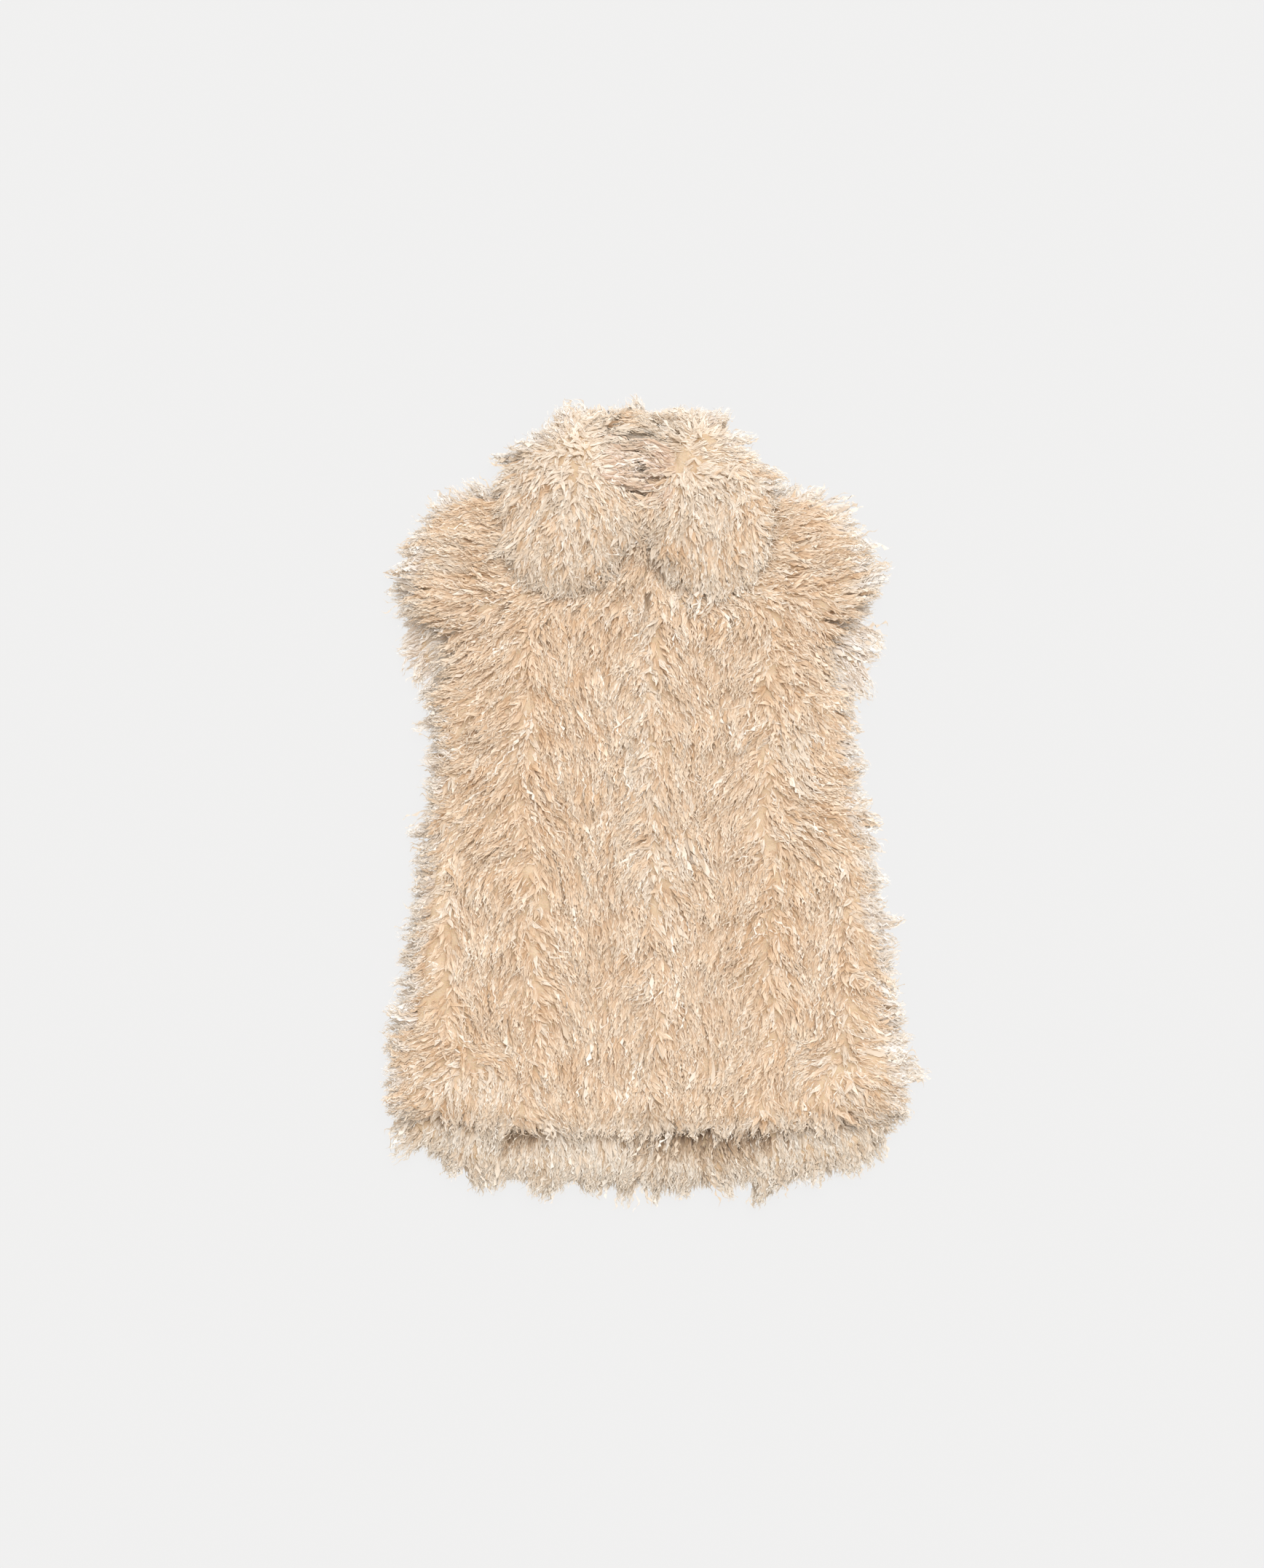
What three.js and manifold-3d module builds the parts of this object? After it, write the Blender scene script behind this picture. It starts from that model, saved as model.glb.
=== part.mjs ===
// A shaggy, sleeveless fur vest with a wide turned-down collar, lying flat on its back.
// Millimetres. X runs across the vest, Y from the hem to the collar, Z up from the surface it lies on.
// The origin is the middle of the vest on that surface. The solids reach to the mean line of the fur tips.
import * as THREE from "three";
import { mergeVertices } from "three/addons/utils/BufferGeometryUtils.js";
import Module from "manifold-3d";

const wasm = await Module();
wasm.setup();

// Gaps between pieces
const SEAM_GAP = 0.3;
const PRESS_GAP = 0.6; // a collar or facing is grown by this before it is pressed into the fur under it
const SHARPEST = 0.4; // a sharp corner of it moves out by at most the gap over this

// Heights of the layers above the surface
const BACK_THICK = 17; // the back's cloth and its fur, flattened by the weight above
const FACING_THICK = 19; // the fur strip inside the back's hem, where it shows
const FRONT_THICK = 33; // a front's cloth and its free-standing fur
const LIP_THICK = 7; // what is left of a wall at its outline, where the fur thins out

// The hems and the shoulder line, with the fur tips: their heights in the middle and at the side.
// The higher square is, the flatter the line and the tighter its corner.
const BACK_HEM = { middle: -413, side: -320, square: 3.5 };
const FRONT_HEM = { middle: -356, side: -334, square: 2.5 };
const SHOULDER = { middle: 338, side: 235, square: 4.6 };
const CORNER_POWER = 0.6;
const NECKLINE_Y = 298; // the fronts' neckline at the centre front
const NECKLINE_REACH = 0.32; // the share of a front's width that the neckline takes
const NECKLINE_POWER = 0.7; // under 1, it climbs steeply first

// The half width of the back at heights up the body, and of a front, which is scooped at the armhole
const SIDE_LINE = [
  { y: -430, back: 278, front: 278 },
  { y: -303, back: 278, front: 278 },
  { y: -265, back: 272, front: 272 },
  { y: -228, back: 264, front: 264 },
  { y: -115, back: 249, front: 248 },
  { y: -40, back: 238, front: 237 },
  { y: 35, back: 226, front: 225 },
  { y: 96, back: 226, front: 224 },
  { y: 112, back: 231, front: 216 },
  { y: 130, back: 247, front: 200 },
  { y: 150, back: 251, front: 191 },
  { y: 168, back: 251, front: 196 },
  { y: 184, back: 251, front: 222 },
  { y: 200, back: 252, front: 245 },
  { y: 222, back: 252, front: 249 },
  { y: 400, back: 252, front: 249 },
];

// The vest's middle line leans a little towards the collar
const MIDDLE_LINE = [
  { y: -420, x: 0 },
  { y: -300, x: 0 },
  { y: -100, x: 0 },
  { y: 60, x: -4 },
  { y: 200, x: -9 },
  { y: 300, x: -11 },
  { y: 420, x: -11 },
];

// The collar from its front edge round to the back of the neck. crest is the fold at the neck, and edge is
// the free edge. x is measured from the collar's middle, and wall is the full thickness at that place.
const COLLAR = [
  { crest: { x: 2, y: 300, z: 60, wall: 34 }, edge: { x: 17, y: 226, z: 50, wall: 18 } },
  { crest: { x: 12, y: 312, z: 64, wall: 44 }, edge: { x: 48, y: 204, z: 50, wall: 19 } },
  { crest: { x: 27, y: 328, z: 66, wall: 50 }, edge: { x: 98, y: 199, z: 50, wall: 19 } },
  { crest: { x: 37, y: 348, z: 66, wall: 50 }, edge: { x: 138, y: 232, z: 50, wall: 19 } },
  { crest: { x: 46, y: 368, z: 61, wall: 50 }, edge: { x: 150, y: 284, z: 46, wall: 20 } },
  { crest: { x: 56, y: 389, z: 47, wall: 47 }, edge: { x: 147, y: 328, z: 32, wall: 22 } },
  { crest: { x: 50, y: 405, z: 31, wall: 44 }, edge: { x: 126, y: 336, z: 13, wall: 17 } },
  { crest: { x: 28, y: 409, z: 20, wall: 42 }, edge: { x: 80, y: 306, z: 5, wall: 11 } },
  { crest: { x: 0, y: 407, z: 19, wall: 41 }, edge: { x: 0, y: 292, z: 4.5, wall: 10 } },
];
const COLLAR_MIDDLE_X = -11;
const COLLAR_STATIONS = 60; // rings along the whole collar
const COLLAR_SHARES = [0, 0.03, 0.1, 0.24, 0.42, 0.6, 0.78, 0.91, 0.98, 1]; // places from crest to edge
const CREST_ROUND = 0.17; // the share of a section that rounds off at the crest
const EDGE_ROUND = 0.1;
const PLAIN_BELOW = 24; // the collar has no locks below this height, and whole ones above the next
const LOCKS_ABOVE = 44;

// The pile's relief
const RIDGE_PITCH = 125; // the fur parts along upright ridges this far apart
const RIDGE_RISE = 3;
const LOCK_RISE = 5; // how far a lock's tip stands over the root of the next
const LOCK_UNEVEN = 2.2;
const SCATTER = { column: 127.1, row: 311.7, spread: 43758.5453 }; // unrelated numbers make the locks uneven
const LOCK_LENGTH = 4; // rows of the grid that a lock covers
const LOCK_WIDTH = 2; // columns of the grid that it covers
const COLLAR_LOCK_RISE = 4.5;
const TIP_JAG = 7; // how far the locks make an outline uneven
const SIDE_ROUND = 46; // how far in from each outline the pile reaches its full height
const HEM_ROUND = 34;
const SHOULDER_ROUND = 40;
const UNDER_ROUND = 24;
const HEM_FULLNESS = 0.58; // a front's hem ends in a thick fall of locks

// The strip inside the back's hem
const FACING_INSET = 3;
const FACING_REACH = 0.93; // the share of the width that it covers
const FACING_TUCK = 34; // how far it runs up under the fronts
const FACING_WEDGE = 70; // it thickens over this length from its upper edge
const FACING_LIP = 3;
const FACING_JAG = 4;

// Mesh fineness
const FRONT_COLUMNS = 20;
const FRONT_ROWS = 48;
const BACK_COLUMNS = 40;
const BACK_ROWS = 36;
const FACING_COLUMNS = 40;
const FACING_ROWS = 8;
const COARSE = 4; // a flat face has this much coarser a grid

const FUR_COLOUR = 0xe4cdb2;
const FUR_ROUGHNESS = 0.9;

const mix = (a, b, share) => a + (b - a) * share;
const clamp01 = (value) => Math.min(1, Math.max(0, value));

// The value in a named column of a table whose rows go up in y
function readTable(table, column, y) {
  const above = table.findIndex((row) => row.y >= y);
  const high = table[Math.max(above, 1)];
  const low = table[Math.max(above, 1) - 1];
  return mix(low[column], high[column], clamp01((y - low.y) / (high.y - low.y)));
}

// An uneven but repeatable number from 0 to 1 for the lock at a place of a grid
function lock(i, j) {
  const wave = SCATTER.spread * Math.sin(SCATTER.column * i + SCATTER.row * j);
  return wave - Math.floor(wave);
}

// How an edge rounds off: 0 at the outline, 1 from reach onwards
function roundOff(distance, reach) {
  const left = 1 - clamp01(distance / reach);
  return Math.sqrt(Math.max(0, 1 - left * left));
}

// A line bowed between two heights: across is 0 at the middle and 1 at the side
function bow(across, { middle, side, square }) {
  return mix(side, middle, Math.pow(1 - Math.pow(Math.min(across, 1), square), CORNER_POWER));
}

const backHemY = (across) => bow(across, BACK_HEM);
const frontHemY = (across) => bow(across, FRONT_HEM);
const shoulderY = (across) => bow(across, SHOULDER);

// A front's upper line climbs from the neckline at the middle to the shoulder
function frontTopY(across) {
  return mix(NECKLINE_Y, shoulderY(across), Math.pow(clamp01(across / NECKLINE_REACH), NECKLINE_POWER));
}

// The places round the edge of a grid, in turn
function gridRim(columns, rows) {
  const rim = [];
  for (let i = 0; i < columns; i += 1) rim.push([i, 0]);
  for (let j = 0; j < rows; j += 1) rim.push([columns, j]);
  for (let i = columns; i > 0; i -= 1) rim.push([i, rows]);
  for (let j = rows; j > 0; j -= 1) rim.push([0, j]);
  return rim;
}

function geometryOf(points, triangles) {
  const geometry = new THREE.BufferGeometry();
  geometry.setAttribute("position", new THREE.Float32BufferAttribute(points.flat(), 3));
  geometry.setIndex(triangles.flat());
  return geometry;
}

// A closed wall between a shaped face and a flat one, which share the outline of a grid of places.
// shaped(point, i, j) gives the shaped face's height and flat the other's. onTop: the shaped one is above.
// Inside its outline the flat face has points only at every fourth place.
function wallBetween({ columns, rows, place, shaped, flat, onTop = true, mirrored = false }) {
  const points = [];
  const triangles = [];
  const facing = (a, b, c) => triangles.push(onTop === mirrored ? [a, c, b] : [a, b, c]);
  const quad = (a, b, c, d) => {
    facing(a, b, c);
    facing(a, c, d);
  };
  const at = (i, j) => j * (columns + 1) + i;
  for (let j = 0; j <= rows; j += 1) {
    for (let i = 0; i <= columns; i += 1) {
      const point = place(i, j);
      points.push([point.x, point.y, shaped(point, i, j)]);
    }
  }
  for (let j = 0; j < rows; j += 1) {
    for (let i = 0; i < columns; i += 1) quad(at(i, j), at(i + 1, j), at(i + 1, j + 1), at(i, j + 1));
  }

  const flatPoints = new Map();
  const below = (i, j) => {
    const key = at(i, j);
    if (!flatPoints.has(key)) {
      const point = place(i, j);
      flatPoints.set(key, points.length);
      points.push([point.x, point.y, flat]);
    }
    return flatPoints.get(key);
  };
  const rim = gridRim(columns, rows);
  rim.forEach(([i, j], k) => {
    const [nextI, nextJ] = rim[(k + 1) % rim.length];
    quad(at(i, j), below(i, j), below(nextI, nextJ), at(nextI, nextJ));
  });
  const [right, high] = [columns - COARSE, rows - COARSE];
  for (let j = COARSE; j < high; j += COARSE) {
    for (let i = COARSE; i < right; i += COARSE) {
      quad(below(i, j), below(i, j + COARSE), below(i + COARSE, j + COARSE), below(i + COARSE, j));
    }
  }
  // The band between the outline and the inner places, from place to place along both
  const nearest = ([i, j]) => {
    const snap = (n, most) => Math.min(most, Math.max(COARSE, Math.round(n / COARSE) * COARSE));
    return [snap(i, right), snap(j, high)];
  };
  rim.forEach((from, k) => {
    const to = rim[(k + 1) % rim.length];
    const [inFrom, inTo] = [nearest(from), nearest(to)];
    facing(below(...from), below(...inFrom), below(...to));
    if (below(...inFrom) !== below(...inTo)) facing(below(...to), below(...inFrom), below(...inTo));
  });
  return geometryOf(points, triangles);
}

// A solid from a closed geometry, and back
function solidOf(geometry) {
  const merged = mergeVertices(geometry, 1e-4);
  return new wasm.Manifold(
    new wasm.Mesh({
      numProp: 3,
      vertProperties: merged.attributes.position.array,
      triVerts: new Uint32Array(merged.index.array),
    }),
  );
}

function geometryFromSolid(solid) {
  const mesh = solid.getMesh();
  const geometry = new THREE.BufferGeometry();
  geometry.setAttribute("position", new THREE.BufferAttribute(mesh.vertProperties, 3));
  geometry.setIndex(new THREE.BufferAttribute(mesh.triVerts, 1));
  return geometry;
}

// The same geometry with every vertex moved out, so far that each face round it moves by at least the gap
function grown(geometry, gap) {
  const bigger = geometry.clone();
  const { position } = bigger.attributes;
  const faces = Array.from({ length: position.count }, () => []);
  const corners = bigger.index.array;
  for (let k = 0; k < corners.length; k += 3) {
    const [a, b, c] = [0, 1, 2].map((n) => new THREE.Vector3().fromBufferAttribute(position, corners[k + n]));
    const normal = b.sub(a).cross(c.sub(a)).normalize();
    for (let n = 0; n < 3; n += 1) faces[corners[k + n]].push(normal);
  }
  faces.forEach((normals, i) => {
    const out = normals.reduce((sum, normal) => sum.add(normal), new THREE.Vector3()).normalize();
    const least = Math.min(...normals.map((normal) => normal.dot(out)));
    const point = new THREE.Vector3().fromBufferAttribute(position, i);
    position.setXYZ(i, ...point.addScaledVector(out, gap / Math.max(least, SHARPEST)));
  });
  return bigger;
}

// A wall with the shapes that press on it taken out of its fur. Loose slivers are dropped.
function pressed(geometry, ...pressing) {
  let solid = solidOf(geometry);
  for (const shape of pressing) solid = solid.subtract(solidOf(grown(shape, PRESS_GAP)));
  const pieces = solid.decompose().sort((a, b) => b.volume() - a.volume());
  return geometryFromSolid(pieces[0]);
}

// Where a grid's column and row lie on the vest. side is 1 or -1 for one half, or 0 for the whole width.
// reach is the share of the half width that the piece covers, and gap keeps it off the middle line.
// The places on the outline are drawn in unevenly by up to sideJag, lowJag or highJag.
function vestPlace({ columns, rows, side = 0, width, low, high, reach = 1, gap = 0, ...jags }) {
  const { sideJag = TIP_JAG, lowJag = TIP_JAG, highJag = TIP_JAG } = jags;
  return (i, j) => {
    const share = side ? i / columns : (2 * i) / columns - 1;
    const across = Math.abs(share) * reach;
    const onSide = i === columns || (!side && i === 0);
    let y = mix(low(across), high(across), j / rows);
    if (j === 0) y += lowJag * lock(i, j);
    if (j === rows && across > NECKLINE_REACH) y -= highJag * lock(i, j);
    const half = readTable(SIDE_LINE, width, y);
    const out = Math.max(across * half, gap) - (onSide ? sideJag * lock(i, j) : 0);
    return { x: readTable(MIDDLE_LINE, "x", y) + (side || Math.sign(share)) * out, y, across, half };
  };
}

// The height of staggered locks, each lowest at its root and highest at its tip
function lockRelief(i, j) {
  const column = Math.floor(i / LOCK_WIDTH);
  const row = j + Math.floor(LOCK_LENGTH * lock(column, 0));
  const along = (LOCK_LENGTH - 1 - (row % LOCK_LENGTH)) / (LOCK_LENGTH - 1);
  return LOCK_RISE * (along - 0.5) + LOCK_UNEVEN * (lock(i, j) - 0.5);
}

// The relief of the pile: locks on broad upright ridges
function furRelief(point, i, j) {
  const fromMiddle = point.x - readTable(MIDDLE_LINE, "x", point.y);
  return RIDGE_RISE * Math.cos((2 * Math.PI * fromMiddle) / RIDGE_PITCH) + lockRelief(i, j);
}

// The back: a flat wall whose fur rounds up at the outline from the surface it lies on
function backGeometry() {
  const shaped = (point) => {
    const fullness =
      roundOff((1 - point.across) * point.half, UNDER_ROUND) *
      roundOff(point.y - backHemY(point.across), UNDER_ROUND) *
      roundOff(shoulderY(point.across) - point.y, UNDER_ROUND);
    return (BACK_THICK - LIP_THICK) * (1 - fullness);
  };
  const grid = { columns: BACK_COLUMNS, rows: BACK_ROWS, width: "back", low: backHemY, high: shoulderY };
  return wallBetween({ ...grid, place: vestPlace(grid), shaped, flat: BACK_THICK, onTop: false });
}

// One front, from the middle line to the side seam: side is 1 towards +X and -1 towards -X
function frontGeometry(side) {
  const base = BACK_THICK + SEAM_GAP;
  const shaped = (point, i, j) => {
    const fullness =
      roundOff((1 - point.across) * point.half, SIDE_ROUND) *
      mix(HEM_FULLNESS, 1, roundOff(point.y - frontHemY(point.across), HEM_ROUND)) *
      roundOff(frontTopY(point.across) - point.y, SHOULDER_ROUND);
    return base + LIP_THICK + fullness * (FRONT_THICK - LIP_THICK + furRelief(point, i, j));
  };
  const grid = {
    columns: FRONT_COLUMNS,
    rows: FRONT_ROWS,
    side,
    width: "front",
    low: frontHemY,
    high: frontTopY,
    gap: SEAM_GAP / 2,
  };
  return wallBetween({ ...grid, place: vestPlace(grid), shaped, flat: base, mirrored: side < 0 });
}

// The strip of fur turned in at the back's hem, which runs up under the fronts as a wedge
function facingGeometry() {
  const base = BACK_THICK + SEAM_GAP;
  const low = (across) => backHemY(across) + FACING_INSET;
  const high = (across) => frontHemY(across) + FACING_TUCK;
  const shaped = (point, i, j) => {
    const fullness =
      roundOff((FACING_REACH - point.across) * point.half, SIDE_ROUND) *
      roundOff(point.y - low(point.across), SIDE_ROUND) *
      clamp01((high(point.across) - point.y) / FACING_WEDGE);
    return base + FACING_LIP + fullness * (FACING_THICK - FACING_LIP + lockRelief(i, j) / 2);
  };
  const grid = {
    columns: FACING_COLUMNS,
    rows: FACING_ROWS,
    width: "back",
    low,
    high,
    reach: FACING_REACH,
    sideJag: 0,
    lowJag: FACING_JAG,
    highJag: 0,
  };
  return wallBetween({ ...grid, place: vestPlace(grid), shaped, flat: base });
}

// The crest or the edge as a smooth curve all round the neck, from the front at -X to the front at +X
function collarCurve(line) {
  const half = COLLAR.map((row) => new THREE.Vector3(-row[line].x, row[line].y, row[line].z));
  const other = half.slice(0, -1).map((p) => new THREE.Vector3(-p.x, p.y, p.z));
  return new THREE.CatmullRomCurve3([...half, ...other.reverse()], false, "centripetal");
}

// The wall's thickness at the crest or the edge, at a share of the way along the collar
function collarWall(line, share) {
  const place = (1 - Math.abs(2 * share - 1)) * (COLLAR.length - 1);
  const row = Math.min(Math.floor(place), COLLAR.length - 2);
  return mix(COLLAR[row][line].wall, COLLAR[row + 1][line].wall, place - row);
}

// The collar: rings round the folded wall's section, thick at the fold and thin at the free edge
function collarGeometry() {
  const crest = collarCurve("crest");
  const edge = collarCurve("edge");
  const last = COLLAR_SHARES.length - 1;

  // One point of a station's ring: upper is 1 on the wall's outer side and -1 on its inner side
  const ringPoint = (station, k, upper) => {
    const along = station / COLLAR_STATIONS;
    const share = COLLAR_SHARES[k];
    const fold = crest.getPoint(along);
    const fall = edge.getPoint(along).sub(fold);
    const point = fold.addScaledVector(fall, share);
    const tangent = crest.getTangent(along).lerp(edge.getTangent(along), share);
    const out = fall.cross(tangent).normalize();
    const round = roundOff(share, CREST_ROUND) * roundOff(1 - share, EDGE_ROUND);
    const wall = mix(collarWall("crest", along), collarWall("edge", along), share);
    const raised = clamp01((point.z - PLAIN_BELOW) / (LOCKS_ABOVE - PLAIN_BELOW));
    const relief = COLLAR_LOCK_RISE * (lock(station, upper * k) - 0.5) * raised;
    point.addScaledVector(out, upper * (wall / 2 + relief) * round);
    return [point.x + COLLAR_MIDDLE_X, point.y, Math.max(point.z, 0)];
  };

  const around = 2 * last;
  const points = [];
  for (let station = 0; station <= COLLAR_STATIONS; station += 1) {
    for (let k = 0; k <= last; k += 1) points.push(ringPoint(station, k, 1));
    for (let k = last - 1; k > 0; k -= 1) points.push(ringPoint(station, k, -1));
  }

  const triangles = [];
  const end = COLLAR_STATIONS * around;
  for (let k = 0; k < around; k += 1) {
    const next = (k + 1) % around;
    for (let ring = 0; ring < end; ring += around) {
      triangles.push([ring + k, ring + next, ring + around + next]);
      triangles.push([ring + k, ring + around + next, ring + around + k]);
    }
  }
  for (let k = 0; k < last; k += 1) {
    const [a, b, c, d] = [k, k + 1, around - k - 1, (around - k) % around];
    if (d !== a) triangles.push([a, d, c], [end + a, end + c, end + d]);
    if (b !== c) triangles.push([a, c, b], [end + a, end + b, end + c]);
  }
  return geometryOf(points, triangles);
}

const collar = collarGeometry();
const facing = facingGeometry();

const vest = new THREE.Group();

function addPiece(name, geometry) {
  const material = new THREE.MeshStandardMaterial({ color: FUR_COLOUR, roughness: FUR_ROUGHNESS });
  const piece = new THREE.Mesh(geometry, material);
  piece.name = name;
  vest.add(piece);
}

addPiece("back", pressed(backGeometry(), collar));
addPiece("back_hem_facing", facing);
addPiece("front_right", pressed(frontGeometry(-1), collar, facing));
addPiece("front_left", pressed(frontGeometry(1), collar, facing));
addPiece("collar", collar);

export default vest;
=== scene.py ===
# %% [markdown]
# # A shaggy fur vest, laid flat
# This lesson dresses a fixed model of a sleeveless vest with long curly fur. The model gives five plain solids:
# a back, two fronts, a collar and the strip of fur inside the back's hem. The solids reach as far as the fur
# does. Here each one becomes what a maker would sew: a knitted backing cloth, a dense undercoat, and long wavy
# locks combed over it. Everything is in metres, and the vest lies with its hem towards -Y and its fronts up.

import bpy
import numpy as np
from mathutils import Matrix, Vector
from mathutils.bvhtree import BVHTree
from mathutils.kdtree import KDTree


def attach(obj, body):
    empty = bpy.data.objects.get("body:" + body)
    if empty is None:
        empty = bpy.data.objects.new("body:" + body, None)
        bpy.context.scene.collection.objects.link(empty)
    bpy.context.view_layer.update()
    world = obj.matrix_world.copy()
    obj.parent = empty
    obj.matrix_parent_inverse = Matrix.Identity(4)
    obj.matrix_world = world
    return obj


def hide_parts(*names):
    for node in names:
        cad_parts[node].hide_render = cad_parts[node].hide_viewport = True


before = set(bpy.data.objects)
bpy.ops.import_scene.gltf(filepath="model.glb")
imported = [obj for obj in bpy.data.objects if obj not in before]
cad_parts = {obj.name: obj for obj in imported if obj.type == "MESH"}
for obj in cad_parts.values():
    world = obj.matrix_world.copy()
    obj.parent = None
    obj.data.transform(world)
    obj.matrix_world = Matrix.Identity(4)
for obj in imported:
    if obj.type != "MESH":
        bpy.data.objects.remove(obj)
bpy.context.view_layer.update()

MM = 0.001
random = np.random.default_rng(41)
print("solids:", {name: len(node.data.polygons) for name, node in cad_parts.items()})

# %% [markdown]
# ## Camera, floor and light
# The photograph looks straight down on the vest from far away, so a long lens high above it gives nearly no
# perspective. Clothes are photographed for a catalogue on a table that glows, which leaves nearly no shadow
# round them, so the floor gives light of its own. Above are a wide soft lamp, a little towards the collar, and
# an even white sky. Fur needs that: small hard lights would make each hair sparkle, and no direction at all
# would hide the locks.

# %% Camera
FRAME_PIXELS = (1736, 2154)
PIXEL_SIZE = 0.75 * MM  # what one pixel of the photograph covers on the vest
MIDDLE_PIXEL = (888.5, 1096.0)  # where the model's origin lies in the photograph
CAMERA_HEIGHT = 3.4
VEST_HEIGHT = 45 * MM  # the height at which the pixel size holds
SENSOR = 36.0

frame_height = FRAME_PIXELS[1] * PIXEL_SIZE
camera_data = bpy.data.cameras.new("above")
camera_data.sensor_width = SENSOR
camera_data.lens = SENSOR * (CAMERA_HEIGHT - VEST_HEIGHT) / frame_height
camera = bpy.data.objects.new("above", camera_data)
camera.location = (
    (FRAME_PIXELS[0] / 2 - MIDDLE_PIXEL[0]) * PIXEL_SIZE,
    (MIDDLE_PIXEL[1] - FRAME_PIXELS[1] / 2) * PIXEL_SIZE,
    CAMERA_HEIGHT,
)
bpy.context.collection.objects.link(camera)
bpy.context.scene.camera = camera
bpy.context.scene.view_settings.view_transform = "Standard"
print("lens", round(camera_data.lens, 1), "mm at", tuple(round(v, 4) for v in camera.location))

# %% Floor
FLOOR_SIDE = 12.0
FLOOR_COLOUR = (0.05, 0.05, 0.05, 1)
FLOOR_GLOW = 0.82

table = bpy.data.materials.new("pale lit table")
table.use_nodes = True
table_shader = table.node_tree.nodes["Principled BSDF"]
table_shader.inputs["Base Color"].default_value = FLOOR_COLOUR
table_shader.inputs["Roughness"].default_value = 1.0
table_shader.inputs["Specular IOR Level"].default_value = 0.0
table_shader.inputs["Emission Color"].default_value = (1, 1, 1, 1)
table_shader.inputs["Emission Strength"].default_value = FLOOR_GLOW

half = FLOOR_SIDE / 2
floor_mesh = bpy.data.meshes.new("floor")
floor_mesh.from_pydata([(-half, -half, 0), (half, -half, 0), (half, half, 0), (-half, half, 0)], [], [(0, 1, 2, 3)])
floor_mesh.materials.append(table)
floor = bpy.data.objects.new("floor", floor_mesh)
bpy.context.collection.objects.link(floor)

# %% Light
SKY_COLOUR = (1.0, 0.88, 0.76, 1)  # light that cream fur gives back to itself is warm
SKY_STRENGTH = 0.60
LAMP_STRENGTH = 1.9
LAMP_SOFTNESS = np.radians(50)  # how wide the lamp looks from the vest
LAMP_PLACE = (0.25, 0.75, 1.5)  # the direction that it shines from

world = bpy.data.worlds.new("studio")
world.use_nodes = True
sky = world.node_tree.nodes["Background"]
sky.inputs["Color"].default_value = SKY_COLOUR
sky.inputs["Strength"].default_value = SKY_STRENGTH
bpy.context.scene.world = world

lamp_data = bpy.data.lights.new("soft lamp", "SUN")
lamp_data.energy = LAMP_STRENGTH
lamp_data.angle = LAMP_SOFTNESS
lamp = bpy.data.objects.new("soft lamp", lamp_data)
lamp.location = LAMP_PLACE
lamp.rotation_euler = (-Vector(LAMP_PLACE)).to_track_quat("-Z", "Y").to_euler()
bpy.context.collection.objects.link(lamp)
print("floor and light are set")

# %% [markdown]
# ## The undercoat
# Under the long locks of such fur lies a dense, short undercoat, which shows as the darker tan between them.
# That tan is partly painted shade, the warm shade deep between the locks.
# Each solid gives its form: a remesh turns its facets into an even skin, which is then drawn in at the outline
# and lowered, so that the locks that lie on it end where the solid ends. Drawing in by a blurred outline, and
# not along the normals, keeps the thin rims whole.

# %% Maps of the vest seen from above
CELL = 2.5 * MM
MAP_LOW = np.array((-340.0, -480.0)) * MM
MAP_SIZE = (273, 385)  # cells across and up
map_x = MAP_LOW[0] + CELL * np.arange(MAP_SIZE[0])
map_y = MAP_LOW[1] + CELL * np.arange(MAP_SIZE[1])


def tree_of(objects):
    """A search tree over the meshes of some objects."""
    places, faces = [], []
    for item in objects:
        first = len(places)
        places += [vertex.co for vertex in item.data.vertices]
        faces += [[first + corner for corner in face.vertices] for face in item.data.polygons]
    return BVHTree.FromPolygons(places, faces)


def height_map(objects):
    """The top height of the objects over each cell, and 0 where there is none."""
    tree = tree_of(objects)
    down = Vector((0, 0, -1))
    heights = np.zeros(MAP_SIZE)
    for i, x in enumerate(map_x):
        for j, y in enumerate(map_y):
            hit = tree.ray_cast(Vector((x, y, 1.0)), down)[0]
            if hit:
                heights[i, j] = hit.z
    return heights


def blurred(grid, radius):
    """The map smoothed by a bell of that radius, in metres."""
    fx = np.fft.fftfreq(MAP_SIZE[0], CELL)[:, None]
    fy = np.fft.fftfreq(MAP_SIZE[1], CELL)[None, :]
    bell = np.exp(-2 * (np.pi * radius) ** 2 * (fx**2 + fy**2))
    return np.fft.ifft2(np.fft.fft2(grid) * bell).real


def read(grid, x, y):
    """The map's value at places given by arrays x and y, between its cells."""
    across = np.clip((x - MAP_LOW[0]) / CELL, 0, MAP_SIZE[0] - 1.001)
    up = np.clip((y - MAP_LOW[1]) / CELL, 0, MAP_SIZE[1] - 1.001)
    i, j = across.astype(int), up.astype(int)
    s, t = across - i, up - j
    low = grid[i, j] * (1 - s) + grid[i + 1, j] * s
    high = grid[i, j + 1] * (1 - s) + grid[i + 1, j + 1] * s
    return low * (1 - t) + high * t


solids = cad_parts
outlines = {name: (height_map([solid]) > MM).astype(float) for name, solid in solids.items()}
print("cells covered:", {name: int(outline.sum()) for name, outline in outlines.items()})

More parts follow.
